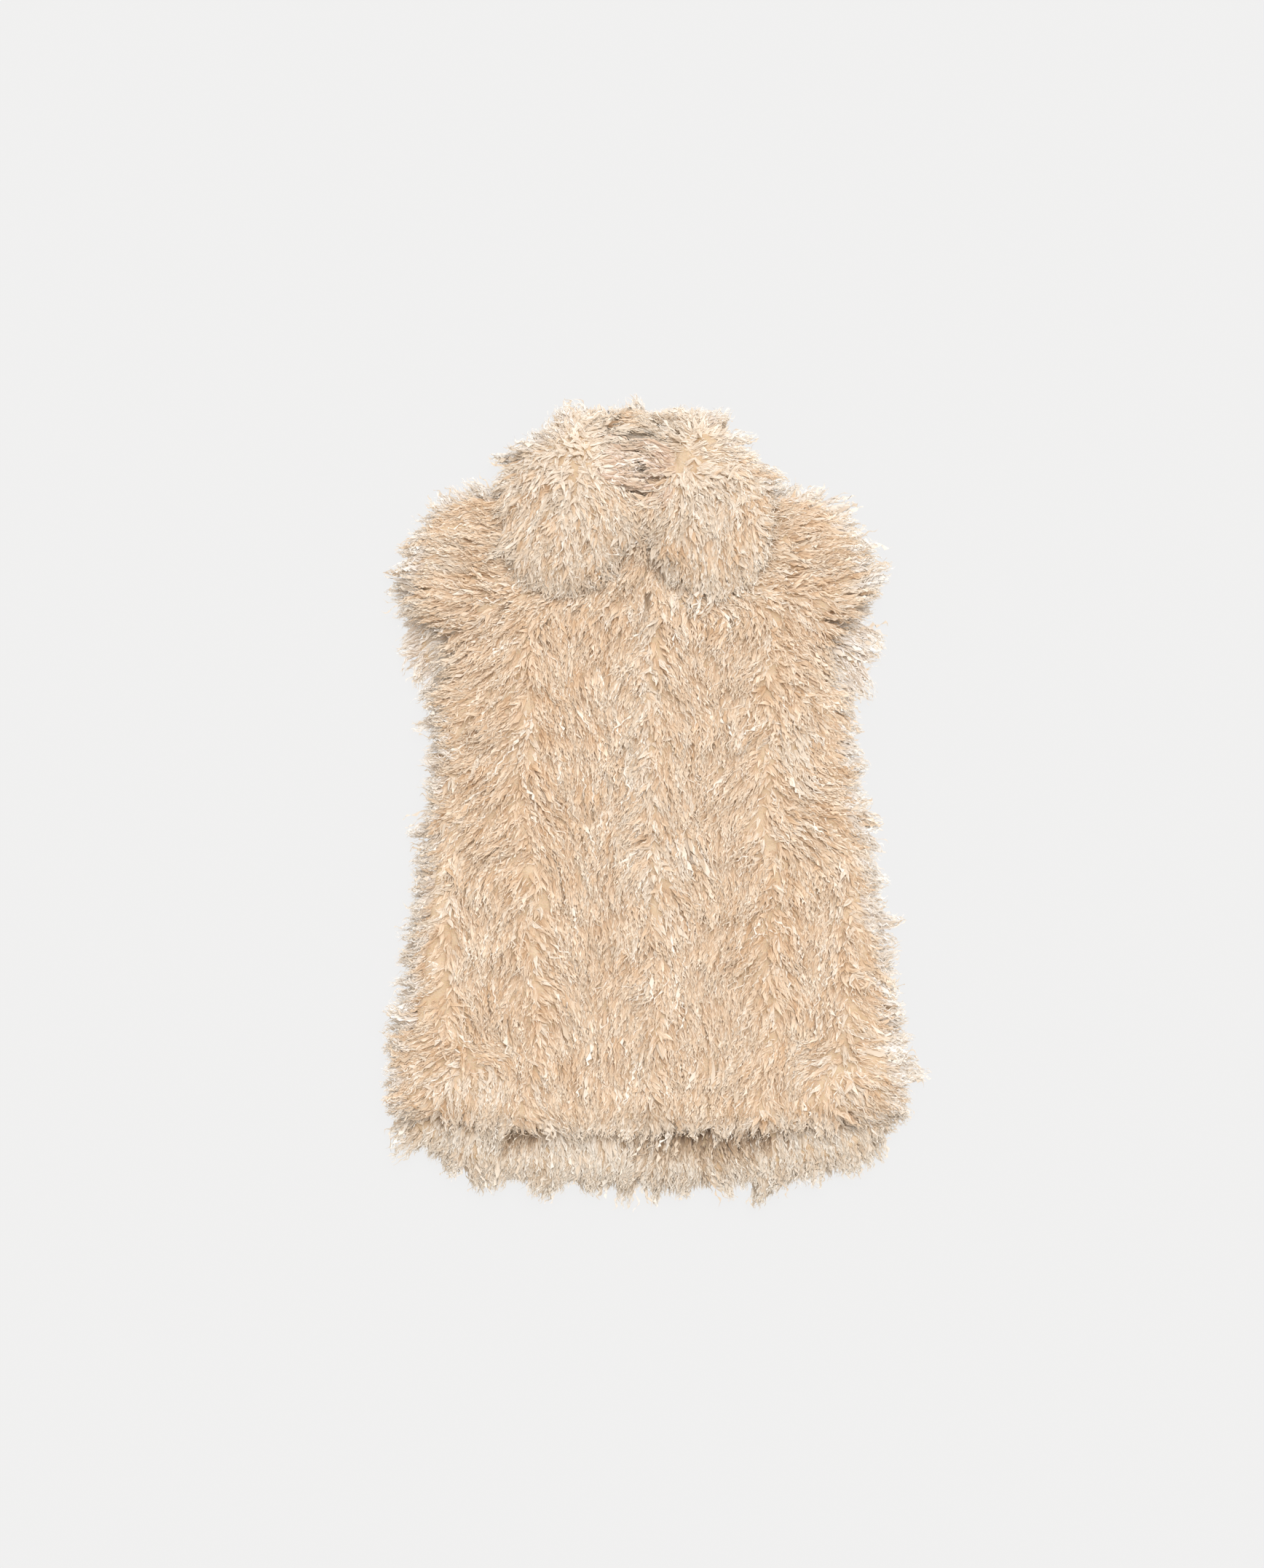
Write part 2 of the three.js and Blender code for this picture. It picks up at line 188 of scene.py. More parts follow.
# %% Drawing in and lowering
VOXEL = 7.5 * MM
SKIN_BLUR = 20 * MM
SWELL = 1.5 * MM  # makes up for what the remesh shrinks
UNDERSIDE_PILE = 3.5 * MM  # the pile that the vest lies on is pressed to this
FRONTS = ["front_left", "front_right"]
CLOSING_LINE = [(-420, 0), (-100, 0), (60, -4), (200, -9), (300, -11), (420, -11)]  # y and x in mm
CLOSING_REACH = 14 * MM
CLOSING_SHIFT = 6 * MM  # the undercoats of the fronts press into each other this far
ARMHOLE_PITS = [(-208 * MM, 163 * MM), (196 * MM, 182 * MM)]  # where one looks into the armholes
PIT_REACH = (6 * MM, 9 * MM)
PIT_DEPTH = 30 * MM


class Outline:
    """A blurred outline: how far inside it a place is, and which way is out."""

    def __init__(self, names, radius, also=None, without=None):
        covered = np.max([outlines[name] for name in names], axis=0)
        if also is not None:
            covered = np.maximum(covered, also)
        if without is not None:
            covered = np.where(without, 0, covered)
        self.inside = blurred(covered, radius)
        self.out_x, self.out_y = (-slope for slope in np.gradient(self.inside, CELL))

    def depth(self, x, y):
        """Near 1 well inside, 0.5 on the outline and 0 well outside."""
        return read(self.inside, x, y)

    def outward(self, x, y):
        """The unit direction out of the outline."""
        out = np.stack([read(self.out_x, x, y), read(self.out_y, x, y)], axis=-1)
        return out / np.maximum(np.linalg.norm(out, axis=-1, keepdims=True), 1e-6)


def vertices_of(mesh):
    """The mesh's points as an array."""
    points = np.zeros(len(mesh.vertices) * 3, np.float32)
    mesh.vertices.foreach_get("co", points)
    return points.reshape(-1, 3).astype(float)


def link(name, mesh):
    """A new piece of the vest, which rides on its one body."""
    piece = bpy.data.objects.new(name, mesh)
    bpy.context.collection.objects.link(piece)
    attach(piece, "root")
    return piece


def in_pit(x, y):
    """How deep in the middle of an armhole's gap a place is: 1 in the middle and 0 from its edge on."""
    away = [np.hypot((x - px) / PIT_REACH[0], (y - py) / PIT_REACH[1]) for px, py in ARMHOLE_PITS]
    return np.clip(1.5 - np.min(away, axis=0), 0, 1)


def undercoat(name, draw_in, keep_height, outline_of, also=None):
    """The skin of one solid, remeshed, drawn in at its outline and lowered."""
    solid = solids[name]
    piece = bpy.data.objects.new(f"{name}_undercoat", solid.data.copy())
    bpy.context.collection.objects.link(piece)
    piece.data.materials.clear()
    remesh = piece.modifiers.new("even skin", "REMESH")
    remesh.mode = "VOXEL"
    remesh.voxel_size = VOXEL
    smooth = piece.modifiers.new("soft", "SMOOTH")
    smooth.iterations = 4
    evaluated = piece.evaluated_get(bpy.context.evaluated_depsgraph_get())
    mesh = bpy.data.meshes.new_from_object(evaluated)
    bpy.data.objects.remove(piece)
    points = vertices_of(mesh)
    normals = np.zeros(len(mesh.vertices) * 3, np.float32)
    mesh.vertices.foreach_get("normal", normals)
    points += SWELL * normals.reshape(-1, 3)
    edge = Outline(outline_of, SKIN_BLUR, also)
    rim = np.clip((1.0 - edge.depth(points[:, 0], points[:, 1])) / 0.5, 0, 1)
    points[:, :2] -= draw_in * rim[:, None] * edge.outward(points[:, 0], points[:, 1])
    base = points[:, 2].min()
    points[:, 2] = np.maximum(base + keep_height * (points[:, 2] - base), UNDERSIDE_PILE)
    if name in FRONTS:
        line_y, line_x = np.array(CLOSING_LINE).T * MM
        off_line = points[:, 0] - np.interp(points[:, 1], line_y, line_x)
        closing = CLOSING_SHIFT * np.exp(-((off_line / CLOSING_REACH) ** 2))
        points[:, 0] += closing if name == "front_right" else -closing
        sunk = PIT_DEPTH * in_pit(points[:, 0], points[:, 1]) * (points[:, 2] > base + PIT_DEPTH / 3)
        points[:, 2] = np.maximum(points[:, 2] - sunk, base)
    mesh.vertices.foreach_set("co", points.astype(np.float32).ravel())
    mesh.update()
    skin = link(f"{name}_undercoat", mesh)
    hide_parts(name)
    return skin


NECK_REACH = (27 * MM, 50 * MM)  # half the width and height of the neck's opening
NECK_MIDDLE = (-12 * MM, 338 * MM)
cells_x, cells_y = np.meshgrid(map_x, map_y, indexing="ij")


def in_neck(x, y, reach=1.0):
    """Which places lie in the neck's opening, or in an oval that is larger by reach."""
    return np.hypot((x - NECK_MIDDLE[0]) / NECK_REACH[0], (y - NECK_MIDDLE[1]) / NECK_REACH[1]) < reach


neck_hole = in_neck(cells_x, cells_y)
skins = {
    "back": undercoat("back", 20 * MM, 0.88, ["back"]),
    "back_hem_facing": undercoat("back_hem_facing", 20 * MM, 0.8, ["back", "back_hem_facing"]),
    "front_left": undercoat("front_left", 20 * MM, 0.88, FRONTS),
    "front_right": undercoat("front_right", 20 * MM, 0.88, FRONTS),
    "collar": undercoat("collar", 20 * MM, 0.92, ["collar"], neck_hole),
}
print("undercoat faces:", {name: len(skin.data.polygons) for name, skin in skins.items()})

# %% [markdown]
# ## Which way the fur is combed
# The fur on such a vest parts along upright lines and falls down and outward from each, like the bones of a
# fish. It fans out at every edge, and on the collar it radiates from the two crests of the fold. A comb here is
# a function from places to angles: 0 is straight down the vest, and a quarter turn is towards +X. Slow random
# drifts are added to each comb, because combed fur that follows a rule exactly looks like a rug.

# %% Drifts
class Drift:
    """A smooth random field, about 1 in size, whose bumps are about as wide as its length."""

    def __init__(self, length, waves=9):
        turn = random.uniform(0, 2 * np.pi, waves)
        pitch = 2 * np.pi / (2 * length) * random.uniform(0.6, 1.5, waves)
        self.kx, self.ky = pitch * np.cos(turn), pitch * np.sin(turn)
        self.start = random.uniform(0, 2 * np.pi, waves)

    def at(self, x, y):
        waves = np.sin(x[..., None] * self.kx + y[..., None] * self.ky + self.start)
        return waves.sum(axis=-1) * np.sqrt(2 / len(self.start))


broad_turn = Drift(70 * MM)
narrow_turn = Drift(24 * MM)
tuft_rise = Drift(20 * MM)
BROAD_TURN = np.radians(8)
NARROW_TURN = np.radians(7)


def smooth_step(value, start, end):
    """0 before start, 1 after end and a soft rise between."""
    share = np.clip((value - start) / (end - start), 0, 1)
    return share * share * (3 - 2 * share)


def direction(angle):
    return np.stack([np.sin(angle), -np.cos(angle)], axis=-1)


def unit(vectors):
    return vectors / np.maximum(np.linalg.norm(vectors, axis=-1, keepdims=True), 1e-9)


# %% The comb of the body
# x is in millimetres, and the angles are those just before and after each parting and at the valleys between
UPPER_COMB = [
    (-280, -86), (-235, -74), (-200, -62), (-168, -42), (-125, -36), (-113, 34), (-56, 2), (1, -30),
    (13, 30), (66, -2), (120, -34), (132, 36), (168, 42), (200, 62), (235, 74), (280, 86),
]
LOWER_COMB = [
    (-280, -78), (-240, -62), (-213, -50), (-201, 24), (-165, 2), (-125, -34), (-113, 34), (-56, 2), (1, -26),
    (13, 26), (66, -2), (120, -34), (132, 34), (165, -2), (196, -24), (208, 50), (240, 62), (280, 78),
]
SHOULDER_COMB = [(-280, -98), (-150, -88), (-90, -60), (0, 0), (70, 60), (130, 88), (280, 98)]
LOWER_FROM, LOWER_TO = -30 * MM, -130 * MM  # the lower comb fades in down this stretch
SHOULDER_FROM, SHOULDER_TO = 150 * MM, 235 * MM
WHORLS = [(-186 * MM, -258 * MM), (204 * MM, -262 * MM)]  # the fur fans out of these places above the hem
WHORL_REACH = 62 * MM
PARTING_SWAY = 7 * MM
PARTING_WAVES = ((60 * MM, 1.0), (23 * MM, 2.0))  # the partings' bends: length and start
EDGE_DEPTH = (0.9, 0.55)  # the fur turns outward between these depths in the blurred outline

front_edge = Outline(FRONTS + ["back"], 20 * MM)
whole_edge = Outline(list(outlines), 20 * MM)
hem_edge = Outline(["back", "back_hem_facing"], 20 * MM)
collar_edge = Outline(["collar"], 16 * MM)


def read_comb(table, x):
    places, angles = np.array(table, float).T
    return direction(np.radians(np.interp(x, places * MM, angles)))


def turned(flow, x, y, amount=1.0):
    """The flow with the slow drifts added to its angle."""
    angle = np.arctan2(flow[..., 0], -flow[..., 1])
    angle += amount * (BROAD_TURN * broad_turn.at(x, y) + NARROW_TURN * narrow_turn.at(x, y))
    return direction(angle)


def fanned(flow, edge, x, y, pull=1.0):
    """The flow turned outward near an outline."""
    share = (pull * smooth_step(edge.depth(x, y), *EDGE_DEPTH))[..., None]
    return unit(flow * (1 - 0.65 * share) + edge.outward(x, y) * share)


def body_comb(x, y):
    sway = sum(np.sin(y / length + start) for length, start in PARTING_WAVES)
    bent = x + PARTING_SWAY * sway / 2
    lower = smooth_step(y, LOWER_FROM, LOWER_TO)[..., None]
    shoulder = smooth_step(y, SHOULDER_FROM, SHOULDER_TO)[..., None]
    flow = read_comb(UPPER_COMB, bent) * (1 - lower) + read_comb(LOWER_COMB, bent) * lower
    flow = unit(flow) * (1 - shoulder) + read_comb(SHOULDER_COMB, bent) * shoulder
    for whorl_x, whorl_y in WHORLS:
        away = np.stack([x - whorl_x, y - whorl_y], axis=-1)
        distance = np.linalg.norm(away, axis=-1)
        below = smooth_step(-away[..., 1] / np.maximum(distance, MM), -0.7, 0.3)
        near = (np.exp(-((distance / WHORL_REACH) ** 2)) * below)[..., None]
        flow = flow * (1 - near) + unit(away) * near
    return turned(fanned(unit(flow), front_edge, x, y), x, y)


# %% The combs of the collar and of the back's hem
CRESTS = [(-74 * MM, 356 * MM), (50 * MM, 352 * MM)]  # where each side of the fold is highest
COLLAR_MIDDLE = -11 * MM
CREST_LENGTH = 30 * MM  # the fur radiates from a short line, not from one point
COLLAR_FALL = 0.45  # below its crest the collar's fur also hangs down the vest
HEM_COMB = [(-280, -62), (-235, -30), (-150, -8), (0, 0), (150, 8), (235, 30), (280, 62)]


def collar_comb(number):
    """The comb of the collar's half with that crest."""
    crest_x, crest_y = CRESTS[number]

    def comb(x, y):
        away_y = y - crest_y
        away_y = np.sign(away_y) * np.maximum(np.abs(away_y) - CREST_LENGTH / 2, 0)
        flow = unit(np.stack([x - crest_x, away_y], axis=-1) + 1e-6)
        falling = smooth_step(crest_y - y, 0, 50 * MM)
        flow = unit(flow + COLLAR_FALL * np.stack([0 * falling, -falling], axis=-1))
        pull = 0.4 + 0.6 * smooth_step(y, 368 * MM, 392 * MM)
        return turned(fanned(flow, collar_edge, x, y, pull), x, y)

    return comb


def hem_comb(x, y):
    return turned(fanned(read_comb(HEM_COMB, x), hem_edge, x, y), x, y)


def rim_comb(x, y):
    """Out of the vest's outline, and a little down it."""
    return turned(unit(whole_edge.outward(x, y) + (0, -0.35)), x, y)


print("combs are ready")

# %% [markdown]
# ## Locks and hairs
# Each lock is a tapering, wavy ribbon a few millimetres wide that stands for many hairs side by side, and a few
# single hairs run along it. Hair curves would be easier, but meshes keep their form in every other program.
# A lock starts inside the undercoat, follows the comb over the surface below it, and lifts towards its tip, so
# that each tip lies on the roots of the next. Past an edge it droops, but less than the surface falls, since
# the pile is springy. Everything is worked out for all locks at once, as arrays.

# %% Where the locks are rooted
SUPPORT_BLUR = 9 * MM
NECK_BRIDGE = 60 * MM  # the collar's long fur closes over the neck at about this height
tops = {name: height_map([skin]) for name, skin in skins.items()}
highest = np.max(list(tops.values()), axis=0)


class Ground:
    """What the locks of a layer lie on: its real top, and the soft slope that they follow past its rim."""

    def __init__(self, heights):
        self.heights = heights
        self.slope = blurred(heights, SUPPORT_BLUR)

    def top(self, x, y):
        return read(self.heights, x, y)

    def slope_at(self, x, y):
        return read(self.slope, x, y)


def ground_of(*names):
    return Ground(np.max([tops[name] for name in names], axis=0))


grounds = {
    "floor": Ground(np.zeros(MAP_SIZE)),
    "back": ground_of("back"),
    "hem": ground_of("back", "back_hem_facing"),
    "fronts": ground_of("back", "back_hem_facing", *FRONTS),
    "collar": Ground(np.where(in_neck(cells_x, cells_y, 1.25), np.maximum(highest, NECK_BRIDGE), highest)),
}
print("highest undercoat:", round(highest.max() / MM, 1), "mm")


def thinned(places, spacing):
    """The numbers of the places that are left when none may be closer than spacing to another."""
    cells = np.floor(places / spacing).astype(int).tolist()
    taken, kept = {}, []
    for number, (i, j, k) in enumerate(cells):
        near = []
        for di in (-1, 0, 1):
            for dj in (-1, 0, 1):
                for dk in (-1, 0, 1):
                    near += taken.get((i + di, j + dj, k + dk), [])
        if near and ((places[near] - places[number]) ** 2).sum(axis=1).min() < spacing**2:
            continue
        taken.setdefault((i, j, k), []).append(number)
        kept.append(number)
    return np.array(kept, int)


CANDIDATES = 4  # how many random places compete for each root
LOWEST_ROOT = 2 * MM
LAYER_GAP = 2 * MM
LOOK_AHEAD = 28 * MM  # a lock rooted this far under another layer's edge still comes out of it
def showing(name, comb):
    """The test for roots on a piece: on its top or walls, and not where another layer hides the lock."""
    hidden = ((highest > tops[name] + LAYER_GAP) & (tops[name] > 0)).astype(float)

    def wanted(places, normals):
        x, y = places[:, 0], places[:, 1]
        ahead = LOOK_AHEAD * comb(x, y)
        free = np.minimum(read(hidden, x, y), read(hidden, x + ahead[:, 0], y + ahead[:, 1])) < 0.5
        free &= (in_pit(x, y) < 0.3) | (name not in FRONTS)
        return free & (normals[:, 2] > -0.4) & (places[:, 2] > LOWEST_ROOT)

    return wanted


def scattered(mesh, spacing, wanted):
    """Random places on a mesh, at least spacing apart, and their normals. wanted tells which may stay."""
    mesh.calc_loop_triangles()
    corners = np.zeros(len(mesh.loop_triangles) * 3, np.int32)
    mesh.loop_triangles.foreach_get("vertices", corners)
    a, b, c = vertices_of(mesh)[corners.reshape(-1, 3)].transpose(1, 0, 2)
    across = np.cross(b - a, c - a)
    area = np.linalg.norm(across, axis=1) / 2
    count = int(CANDIDATES * area.sum() / spacing**2)
    chosen = random.choice(len(area), count, p=area / area.sum())
    s, t = random.random((2, count, 1))
    s, t = np.where(s + t > 1, 1 - s, s), np.where(s + t > 1, 1 - t, t)
    places = a[chosen] + s * (b - a)[chosen] + t * (c - a)[chosen]
    normals = unit(across)[chosen]
    kept = wanted(places, normals)
    places, normals = places[kept], normals[kept]
    kept = thinned(places, spacing)
    return places[kept], normals[kept]


# %% How a lock runs
STEPS = 12  # the pieces that a lock's line is made of
SHARES = 1 - (1 - np.linspace(0, 1, STEPS + 1)) ** 1.35  # shorter steps towards the tip, where the waves show
SUNK = 3 * MM  # a lock starts this deep in the undercoat
SPRING = 0.55  # the share of the ground's fall that a lock follows
SKIN_GAP = 0.8 * MM  # a lock rooted on top of its layer keeps this far over it
ROOT_DEPTH = 7 * MM  # roots further below the top than this are on the walls
STEEPEST = 0.7  # how fast a lock may drop
FLOOR_GAP = 1.0 * MM
LIFT = (1.5 * MM, 7 * MM)  # how high a tip stands over the surface, from the flattest to the highest tuft
TUFT_SPACING = 14 * MM
TUFT_PULL = 0.22  # how far a tuft's tips come together
EDGE_PULL = 0.76  # the same where they hang free past an edge
EDGE_FACING = 1.5  # free tips let the light through, so they shade as if they faced up
WALL_SLOPE = 0.5  # normals that rise less than this are on the walls, whose locks turn up their sides too
WALL_FACING = 1.2
TUFT_OVERSHOOT = 8 * MM  # how unevenly the tufts end at an outline
SHORTEST = 0.4  # of the natural length
TURN = np.radians(7)  # how unevenly neighbouring locks are combed
PARTING_MIX = 5 * MM  # how far locks cross over a parting to the other side
PITCH = (9 * MM, 14 * MM)  # the length of a hair's waves


class Locks:
    """Lines of locks with what is needed to make ribbons and hairs of them."""

    def __init__(
        self, roots, normals, comb, length, edge, ground,
        lift=1.0, spring=SPRING, turn=TURN, mix=PARTING_MIX, past=0.0, uneven=TUFT_OVERSHOOT, facing=0.0,
    ):
        count = len(roots)
        leaders = thinned(roots, TUFT_SPACING)
        tree = KDTree(len(leaders))
        for number, leader in enumerate(leaders):
            tree.insert(roots[leader], number)
        tree.balance()
        self.tuft = np.array([tree.find(root)[1] for root in roots])
        self.leader = leaders[self.tuft]
        self.length = length * random.normal(1, 0.1, len(leaders))[self.tuft] * random.normal(1, 0.06, count)
        self.lift = np.interp(tuft_rise.at(roots[:, 0], roots[:, 1]), (-1.2, 1.5), LIFT) * lift
        self.lift *= random.uniform(0.75, 1.25, count)
        self.turn = turn * random.normal(0, 1, count)
        self.shift = mix * random.normal(0, 1, (2, count))
        flat = self.combed(roots, comb)

        # The line is cut where it leaves the outline, a little sooner or later for each tuft
        inside = edge.depth(flat[..., 0], flat[..., 1])
        left = np.where((inside < 0.5).any(axis=1), (inside < 0.5).argmax(axis=1), STEPS)
        over = past + uneven * random.normal(0, 1, len(leaders))[self.tuft]
        over -= 0.35 * np.linalg.norm(roots - roots[self.leader], axis=1)
        wanted = SHARES[left] * self.length + np.where(left < STEPS, over, 0)
        self.length = np.clip(wanted, SHORTEST * self.length, self.length)
        self.at_edge = left < STEPS
        flat = self.combed(roots, comb)

        # The height follows the ground, and then the tips of a tuft come together
        fall = ground.slope_at(flat[..., 0], flat[..., 1])
        fall -= fall[:, :1]
        spring = np.broadcast_to(spring, count)[:, None]
        height = roots[:, 2:] + np.where(fall < 0, spring * fall, fall) + self.lift[:, None] * SHARES**0.6
        top = ground.top(flat[..., 0], flat[..., 1])
        on_top = roots[:, 2] > top[:, 0] - ROOT_DEPTH
        top = np.where(on_top[:, None], top + SKIN_GAP + 0.3 * self.lift[:, None] * SHARES, 0)
        height = np.maximum(height, top)
        for step in range(STEPS):
            drop = STEEPEST * self.length * (SHARES[step + 1] - SHARES[step])
            height[:, step + 1] = np.maximum(height[:, step + 1], height[:, step] - drop)
        self.lines = np.concatenate([flat, height[..., None]], axis=-1)
        self.lines -= SUNK * normals[:, None] * (1 - SHARES[None, :, None]) ** 3
        pull = np.where(self.at_edge, EDGE_PULL, TUFT_PULL)[:, None, None] * SHARES[None, :, None] ** 1.6
        self.lines += pull * (self.lines[self.leader] - self.lines)
        facing = np.maximum(np.where(self.at_edge, EDGE_FACING, 0), facing)
        facing = np.maximum(np.where(normals[:, 2] < WALL_SLOPE, WALL_FACING, 0), facing)
        self.normals = unit(normals + facing[:, None] * (0, 0, 1))
        self.phase = (random.uniform(0, 2 * np.pi, len(leaders))[self.tuft] + random.normal(0, 0.8, count))
        self.pitch = random.uniform(*PITCH, len(leaders))[self.tuft] * random.normal(1, 0.08, count)

    def clear_of(self, places, reach):
        """Which locks do not lie over any of the places."""
        x, y = self.lines[..., 0], self.lines[..., 1]
        away = [np.hypot((x - px) / reach[0], (y - py) / reach[1]) for px, py in places]
        return (np.min(away, axis=0) > 1).all(axis=1)

    def keep(self, kept):
        """Drop the locks that are not kept."""
        for name in ("lines", "normals", "at_edge", "phase", "pitch", "length"):
            setattr(self, name, getattr(self, name)[kept])

    def combed(self, roots, comb):
        """Each line seen from above, followed along the comb for its length."""
        line = [roots[:, :2]]
        for step in np.diff(SHARES):
            x, y = line[-1].T + self.shift
            heading = comb(x, y)
            heading = direction(np.arctan2(heading[:, 0], -heading[:, 1]) + self.turn)
            line.append(line[-1] + heading * (self.length * step)[:, None])
        return np.stack(line, axis=1)


def stretch(lines, first, last):
    """The part of each line between two shares of its length, in as many steps."""
    shares = first + (last[:, None] - first) * SHARES
    place = np.interp(shares, SHARES, np.arange(STEPS + 1))
    low = np.minimum(place.astype(int), STEPS - 1)
    row = np.arange(len(lines))[:, None]
    part = (place - low)[..., None]
    return lines[row, low] * (1 - part) + lines[row, low + 1] * part


def frames(lines, normals, roll):
    """The sideways and upward directions all along some lines, rolled about the line."""
    along = unit(np.gradient(lines, axis=1))
    up = unit(0.7 * normals + (0, 0, 0.6))[:, None]
    side = unit(np.cross(along, np.broadcast_to(up, along.shape)))
    up = np.cross(side, along)
    cos, sin = np.cos(roll)[:, None, None], np.sin(roll)[:, None, None]
    return side * cos + up * sin, up * cos - side * sin


def waved(lines, side, up, phase, pitch, length, size):
    """Lines with the hair's natural waves, which start a little way from the root."""
    turn = 2 * np.pi * SHARES[None] * (length / pitch)[:, None] + phase[:, None]
    grown = size[:, None] * np.minimum(SHARES[None] / 0.35, 1)
    wave = (grown * np.sin(turn))[..., None] * side + (0.45 * grown * np.cos(turn + 0.6))[..., None] * up
    result = lines + wave
    result[..., 2] = np.maximum(result[..., 2], FLOOR_GAP)
    return result


# %% Ribbons
ROUND = np.radians(22)  # a ribbon's normals lean this far to each side, so that it shades like a round lock
SKIN_SHARE = 1.6  # how much of the skin's own normal is added, because dense fur shades as one surface
ZONES = {
    "body": (0.0, 0.34),
    "warm": (0.34, 0.46),
    "light": (0.46, 0.6),
    "neck": (0.6, 0.7),
    "edge": (0.7, 0.82),
    "hem": (0.82, 0.94),
    # deep holds painted shadow
    "deep": (0.94, 1.0),
}


def facing_up(triangles, points, up):
    """The triangles with their front on the hair's upper side, also where a wave folds them over."""
    a, b, c = points[triangles].transpose(1, 0, 2)
    folded = (np.cross(b - a, c - a) * up[triangles[:, 0]]).sum(axis=1) < 0
    triangles[folded] = triangles[folded][:, ::-1]
    return triangles


def ribbons(name, lines, side, up, skin_normals, widths, zones, bands, material, shares):
    """One piece of many tapering ribbons, whose points lie left and right of their line in turn.

    Each ribbon has its own band of the texture's height, within its zone.
    """
    count, each = lines.shape[:2]
    lean = np.where(np.arange(each) % 2, -1, 1)[None, :, None]
    points = (lines + lean * widths[..., None] * side / 2).reshape(-1, 3)
    points[:, 2] = np.maximum(points[:, 2], FLOOR_GAP)
    normals = unit(up * np.cos(ROUND) + lean * np.sin(ROUND) * side + SKIN_SHARE * skin_normals[:, None])
    faces = np.arange(each - 2)[:, None] + np.arange(3)
    triangles = (faces[None] + each * np.arange(count)[:, None, None]).reshape(-1, 3)
    triangles = facing_up(triangles, points, up.reshape(-1, 3))

    mesh = bpy.data.meshes.new(name)
    mesh.vertices.add(len(points))
    mesh.vertices.foreach_set("co", points.astype(np.float32).ravel())
    mesh.loops.add(triangles.size)
    mesh.loops.foreach_set("vertex_index", triangles.astype(np.int32).ravel())
    mesh.polygons.add(len(triangles))
    mesh.polygons.foreach_set("loop_start", np.arange(0, triangles.size, 3, dtype=np.int32))
    mesh.update(calc_edges=True)
    mesh.shade_smooth()

    low = np.array([ZONES[zone][0] for zone in zones])
    high = np.array([ZONES[zone][1] for zone in zones])
    first, last = np.ceil(low * bands - 0.01), np.floor(high * bands + 0.01)
    number = first + np.floor(random.random(count) * (last - first))
    u = np.broadcast_to(shares, (count, each))
    v = (number[:, None] + 0.5 + 0.38 * lean[0, :, 0]) / bands
    uv = np.stack([u, v], axis=-1).reshape(-1, 2)
    layer = mesh.uv_layers.new(name="OFBake")
    layer.data.foreach_set("uv", uv[triangles.ravel()].astype(np.float32).ravel())
    mesh.normals_split_custom_set_from_vertices(normals.reshape(-1, 3))
    mesh.materials.append(material)
    return link(name, mesh)


# %% [markdown]
# ## The colours of the fur
# A long hair on this vest is tan at the root, cream along its length and nearly white at the tip, and no two
# locks are quite alike. The tan root is partly painted shade, the warm shade deep in the fur where the roots
# show. All of that hangs on two numbers that each ribbon carries in its texture coordinates: how far along the
# hair a place is, and which band the ribbon has. A node group turns them into colour, and both the locks and
# the single hairs use it with their own number of bands.

# %% Node helpers
def add_node(tree, kind, **inputs):
    """A new node. Each input is a plain value, or the socket that feeds it, under the socket's name."""
    node = tree.nodes.new(kind)
    for name, value in inputs.items():
        fill(tree, node.inputs[name.replace("_", " ")], value)
    return node


def fill(tree, socket, value):
    if isinstance(value, bpy.types.NodeSocket):
        tree.links.new(value, socket)
    else:
        socket.default_value = value


def arithmetic(tree, operation, *values):
    """The value of a Math node."""
    node = tree.nodes.new("ShaderNodeMath")
    node.operation = operation
    for socket, value in zip(node.inputs, values):
        fill(tree, socket, value)
    return node.outputs[0]


def blend(tree, share, first, second, kind="MIX"):
    """The colour of a Mix node."""
    node = tree.nodes.new("ShaderNodeMix")
    node.data_type = "RGBA"
    node.blend_type = kind
    for socket, value in zip((node.inputs[0], node.inputs[6], node.inputs[7]), (share, first, second)):
        fill(tree, socket, value)
    return node.outputs[2]


def ramp(tree, share, stops, interpolation="LINEAR"):
    """The colour of a ramp with the stops given as place and colour."""
    node = tree.nodes.new("ShaderNodeValToRGB")
    node.color_ramp.interpolation = interpolation
    elements = node.color_ramp.elements
    while len(elements) < len(stops):
        elements.new(1.0)
    for element, (place, colour) in zip(elements, stops):
        element.position = place
        element.color = (*colour, 1)
    fill(tree, node.inputs[0], share)
    return node.outputs[0]


# %% The group of fur colours
# Linear colours of the root and of the length of a hair, in each zone. The darker root is partly painted shade.
HAIR_COLOURS = {
    "body": ((0.74, 0.535, 0.36), (0.93, 0.77, 0.60)),
    "warm": ((0.67, 0.455, 0.28), (0.89, 0.695, 0.505)),
    "light": ((0.85, 0.72, 0.58), (0.96, 0.87, 0.76)),
    "neck": ((0.78, 0.61, 0.48), (0.95, 0.80, 0.685)),
    # edge: whitish-grey tips that end over the table, partly their own pale colour and partly painted light coming
    # through them from behind
    "edge": ((0.75, 0.63, 0.52), (0.91, 0.85, 0.78)),
    # hem: greyer and a little darker, partly whitish-grey tips and partly painted shade below the fronts' hem
    "hem": ((0.80, 0.65, 0.49), (0.80, 0.73, 0.64)),
    # deep is painted shadow: near-black brown for the shade in the hem's gaps and under the collar's edge
    "deep": ((0.16, 0.10, 0.06), (0.60, 0.46, 0.33)),
}
PALE_TIP = (0.94, 0.87, 0.76, 1)
WARM_SHADE = (1.4, 1.9)  # powers on the green and blue of a strand's brightness: darker strands are warmer


